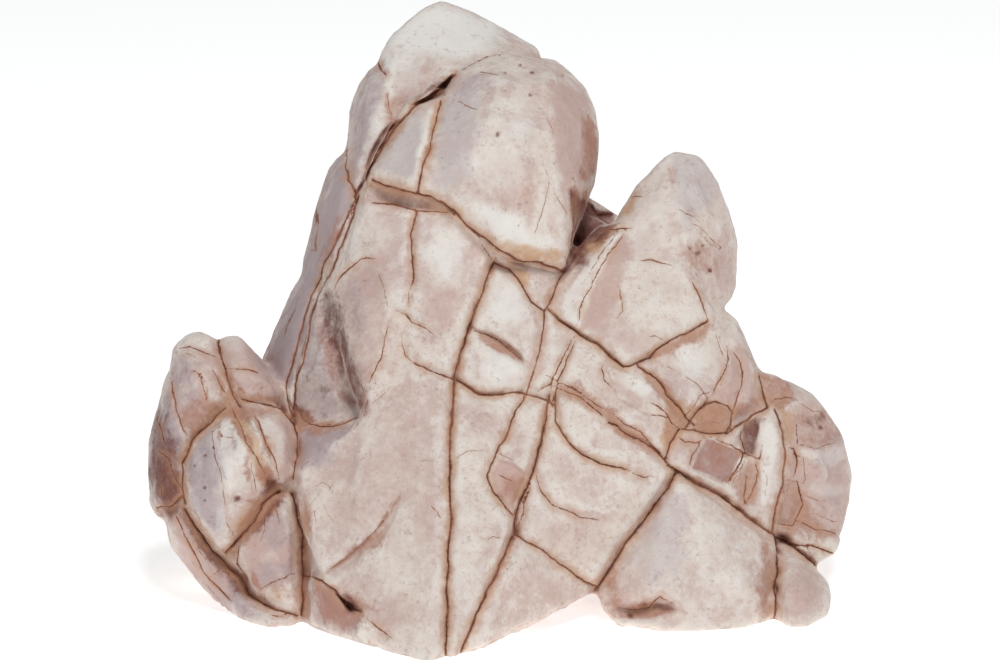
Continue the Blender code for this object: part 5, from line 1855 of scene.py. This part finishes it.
        # Painted shade: closed-in places turn towards the gap colour, and the most closed-in ones
        # towards umber
        mottled = graph.calculate("MULTIPLY", middle, self.shade_mottle)
        shade = graph.calculate("ADD", graph.mask("shade"), mottled)
        look = graph.mix(graph.between(shade, *self.gap_shade_growth), look, colour(*self.gap))
        look = graph.mix(graph.between(shade, *self.deep_shade_growth), look, colour(*self.umber))
        way = graph.add("ShaderNodeAttribute", attribute_name="joint_way").outputs["Vector"]
        length = graph.add("ShaderNodeVectorMath", operation="LENGTH")
        graph.feed(length.inputs[0], way)
        ragged = graph.calculate("SUBTRACT", graph.noise(place, self.line_scale), NOISE_MEAN)
        ragged = graph.calculate("MULTIPLY", ragged, self.line_raggedness)
        distance = graph.calculate("ADD", length.outputs["Value"], ragged)
        strong = graph.between(graph.noise(place, self.fading_scale), *self.fading)
        edge = graph.between(distance, *self.line_edge_fall)
        look = graph.mix(edge, look, colour(*self.line_edge))
        core = graph.mix(strong, colour(*self.faint_line), colour(*self.line))
        return graph.mix(graph.between(distance, *self.line_fall), look, core)


@dataclass(frozen=True)
class FloorFinish:
    """A plain pale floor."""

    base: tuple = (248, 248, 247)
    glow: float = 0.6
    roughness: tuple = (0, 1, 0.8, 0.9)
    specular: float = 0.1

    def build(self, mottle: bpy.types.NodeTree) -> bpy.types.Material:
        """Makes the finish.

        Args:
            mottle: The shared blotches.

        Returns:
            The material.
        """
        material = bpy.data.materials.new("studio_floor")
        material.use_nodes = True
        graph = Graph(material.node_tree)
        surface = material.node_tree.nodes["Principled BSDF"]
        place = graph.add("ShaderNodeTexCoord").outputs["Object"]
        middle = graph.effect(mottle, place).outputs["Middle"]
        graph.feed(surface.inputs["Roughness"], graph.between(middle, *self.roughness))
        surface.inputs["Base Color"].default_value = colour(*self.base)
        surface.inputs["Specular IOR Level"].default_value = self.specular
        surface.inputs["Emission Color"].default_value = colour(*self.base)
        surface.inputs["Emission Strength"].default_value = self.glow
        return material


@dataclass
class Sandstone:
    """The stone as it is shown.

    voxel is the size of the worked skin's squares. What lies below foot_height is the flat foot.
    """

    node: bpy.types.Object
    view: FrontView
    finish: SandstoneFinish = SandstoneFinish()
    voxel: float = 0.85
    softening_rounds: int = 9
    scattered_pits: int = 70
    most_triangles: int = 192000
    foot_height: float = 0.9

    def build(self, mottle: bpy.types.NodeTree, grain: bpy.types.NodeTree) -> list[bpy.types.Object]:
        """Makes the stone and hangs it on its body.

        Args:
            mottle: The shared blotches.
            grain: The shared grain.

        Returns:
            The one piece.
        """
        skin = StoneSkin(self.node, self.view, self.voxel)
        skin.soften(self.softening_rounds)
        skin.weather(self.scattered_pits)
        skin.thin(self.most_triangles)
        skin.flatten_foot(self.foot_height)
        skin.raise_screen()
        skin.mark_all()
        skin.finish()
        skin.body.data.materials.clear()
        skin.body.data.materials.append(self.finish.build(mottle, grain))
        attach(skin.body, "root")
        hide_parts("sandstone")
        return [skin.body]


@dataclass(frozen=True)
class Lamp:
    """A soft square light that looks at the stone."""

    name: str
    place: tuple
    size: float
    power: float

    def build(self, target: Vector) -> bpy.types.Object:
        """Puts the light up.

        Args:
            target: What it looks at.

        Returns:
            The light.
        """
        light = bpy.data.lights.new(self.name, "AREA")
        light.size = self.size
        light.energy = self.power
        lamp = bpy.data.objects.new(self.name, light)
        lamp.location = self.place
        lamp.rotation_euler = (target - lamp.location).to_track_quat("-Z", "Y").to_euler()
        bpy.context.scene.collection.objects.link(lamp)
        return lamp


@dataclass(frozen=True)
class Studio:
    """The floor, the lights, the pale surround and the camera."""

    view: FrontView
    finish: FloorFinish = FloorFinish()
    floor_size: float = 12
    surround: float = 0.28
    sky: tuple = (0.9, 0.95, 1.0, 1.0)
    sensor: float = 36
    camera_reach: float = 100
    lamps: tuple = (
        Lamp("key", (0.3, -1.0, 2.4), 0.7, 31.5),
        Lamp("fill", (-1.2, -1.8, 1.0), 1.4, 2),
    )

    def build(self, mottle: bpy.types.NodeTree) -> list[bpy.types.Object]:
        """Makes the studio.

        Args:
            mottle: The shared blotches.

        Returns:
            The floor and the lights.
        """
        bpy.ops.mesh.primitive_plane_add(size=self.floor_size)
        floor = bpy.context.object
        floor.name = "studio_floor"
        floor.data.materials.append(self.finish.build(mottle))
        world = bpy.data.worlds.new("studio")
        world.use_nodes = True
        world.node_tree.nodes["Background"].inputs["Color"].default_value = self.sky
        world.node_tree.nodes["Background"].inputs["Strength"].default_value = self.surround
        scene = bpy.context.scene
        scene.world = world
        scene.view_settings.view_transform = "Standard"
        target = Vector(self.view.centre) * MM
        made = [floor] + [lamp.build(target) for lamp in self.lamps]
        self.add_camera()
        return made

    def add_camera(self) -> None:
        """Puts the camera where the eye is."""
        lens = bpy.data.cameras.new("camera")
        lens.sensor_width = self.sensor
        lens.lens = self.sensor * self.view.eye_distance / self.view.width
        lens.clip_end = self.camera_reach
        camera = bpy.data.objects.new("camera", lens)
        camera.location = Vector(self.view.eye) * MM
        camera.rotation_euler = Vector(self.view.away).to_track_quat("-Z", "Y").to_euler()
        bpy.context.scene.collection.objects.link(camera)
        bpy.context.scene.camera = camera


def main() -> None:
    """Builds the stone and the studio."""
    logging.basicConfig(level=logging.INFO, format="%(name)s: %(message)s")
    effects = SharedEffects()
    mottle = effects.mottle()
    view = FrontView()
    stone = Sandstone(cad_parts["sandstone"], view)
    for piece in stone.build(mottle, effects.grain()):
        log.info("%s has %d faces", piece.name, len(piece.data.polygons))
    for piece in Studio(view).build(mottle):
        log.info("%s is up", piece.name)


if __name__ == "__main__":
    main()
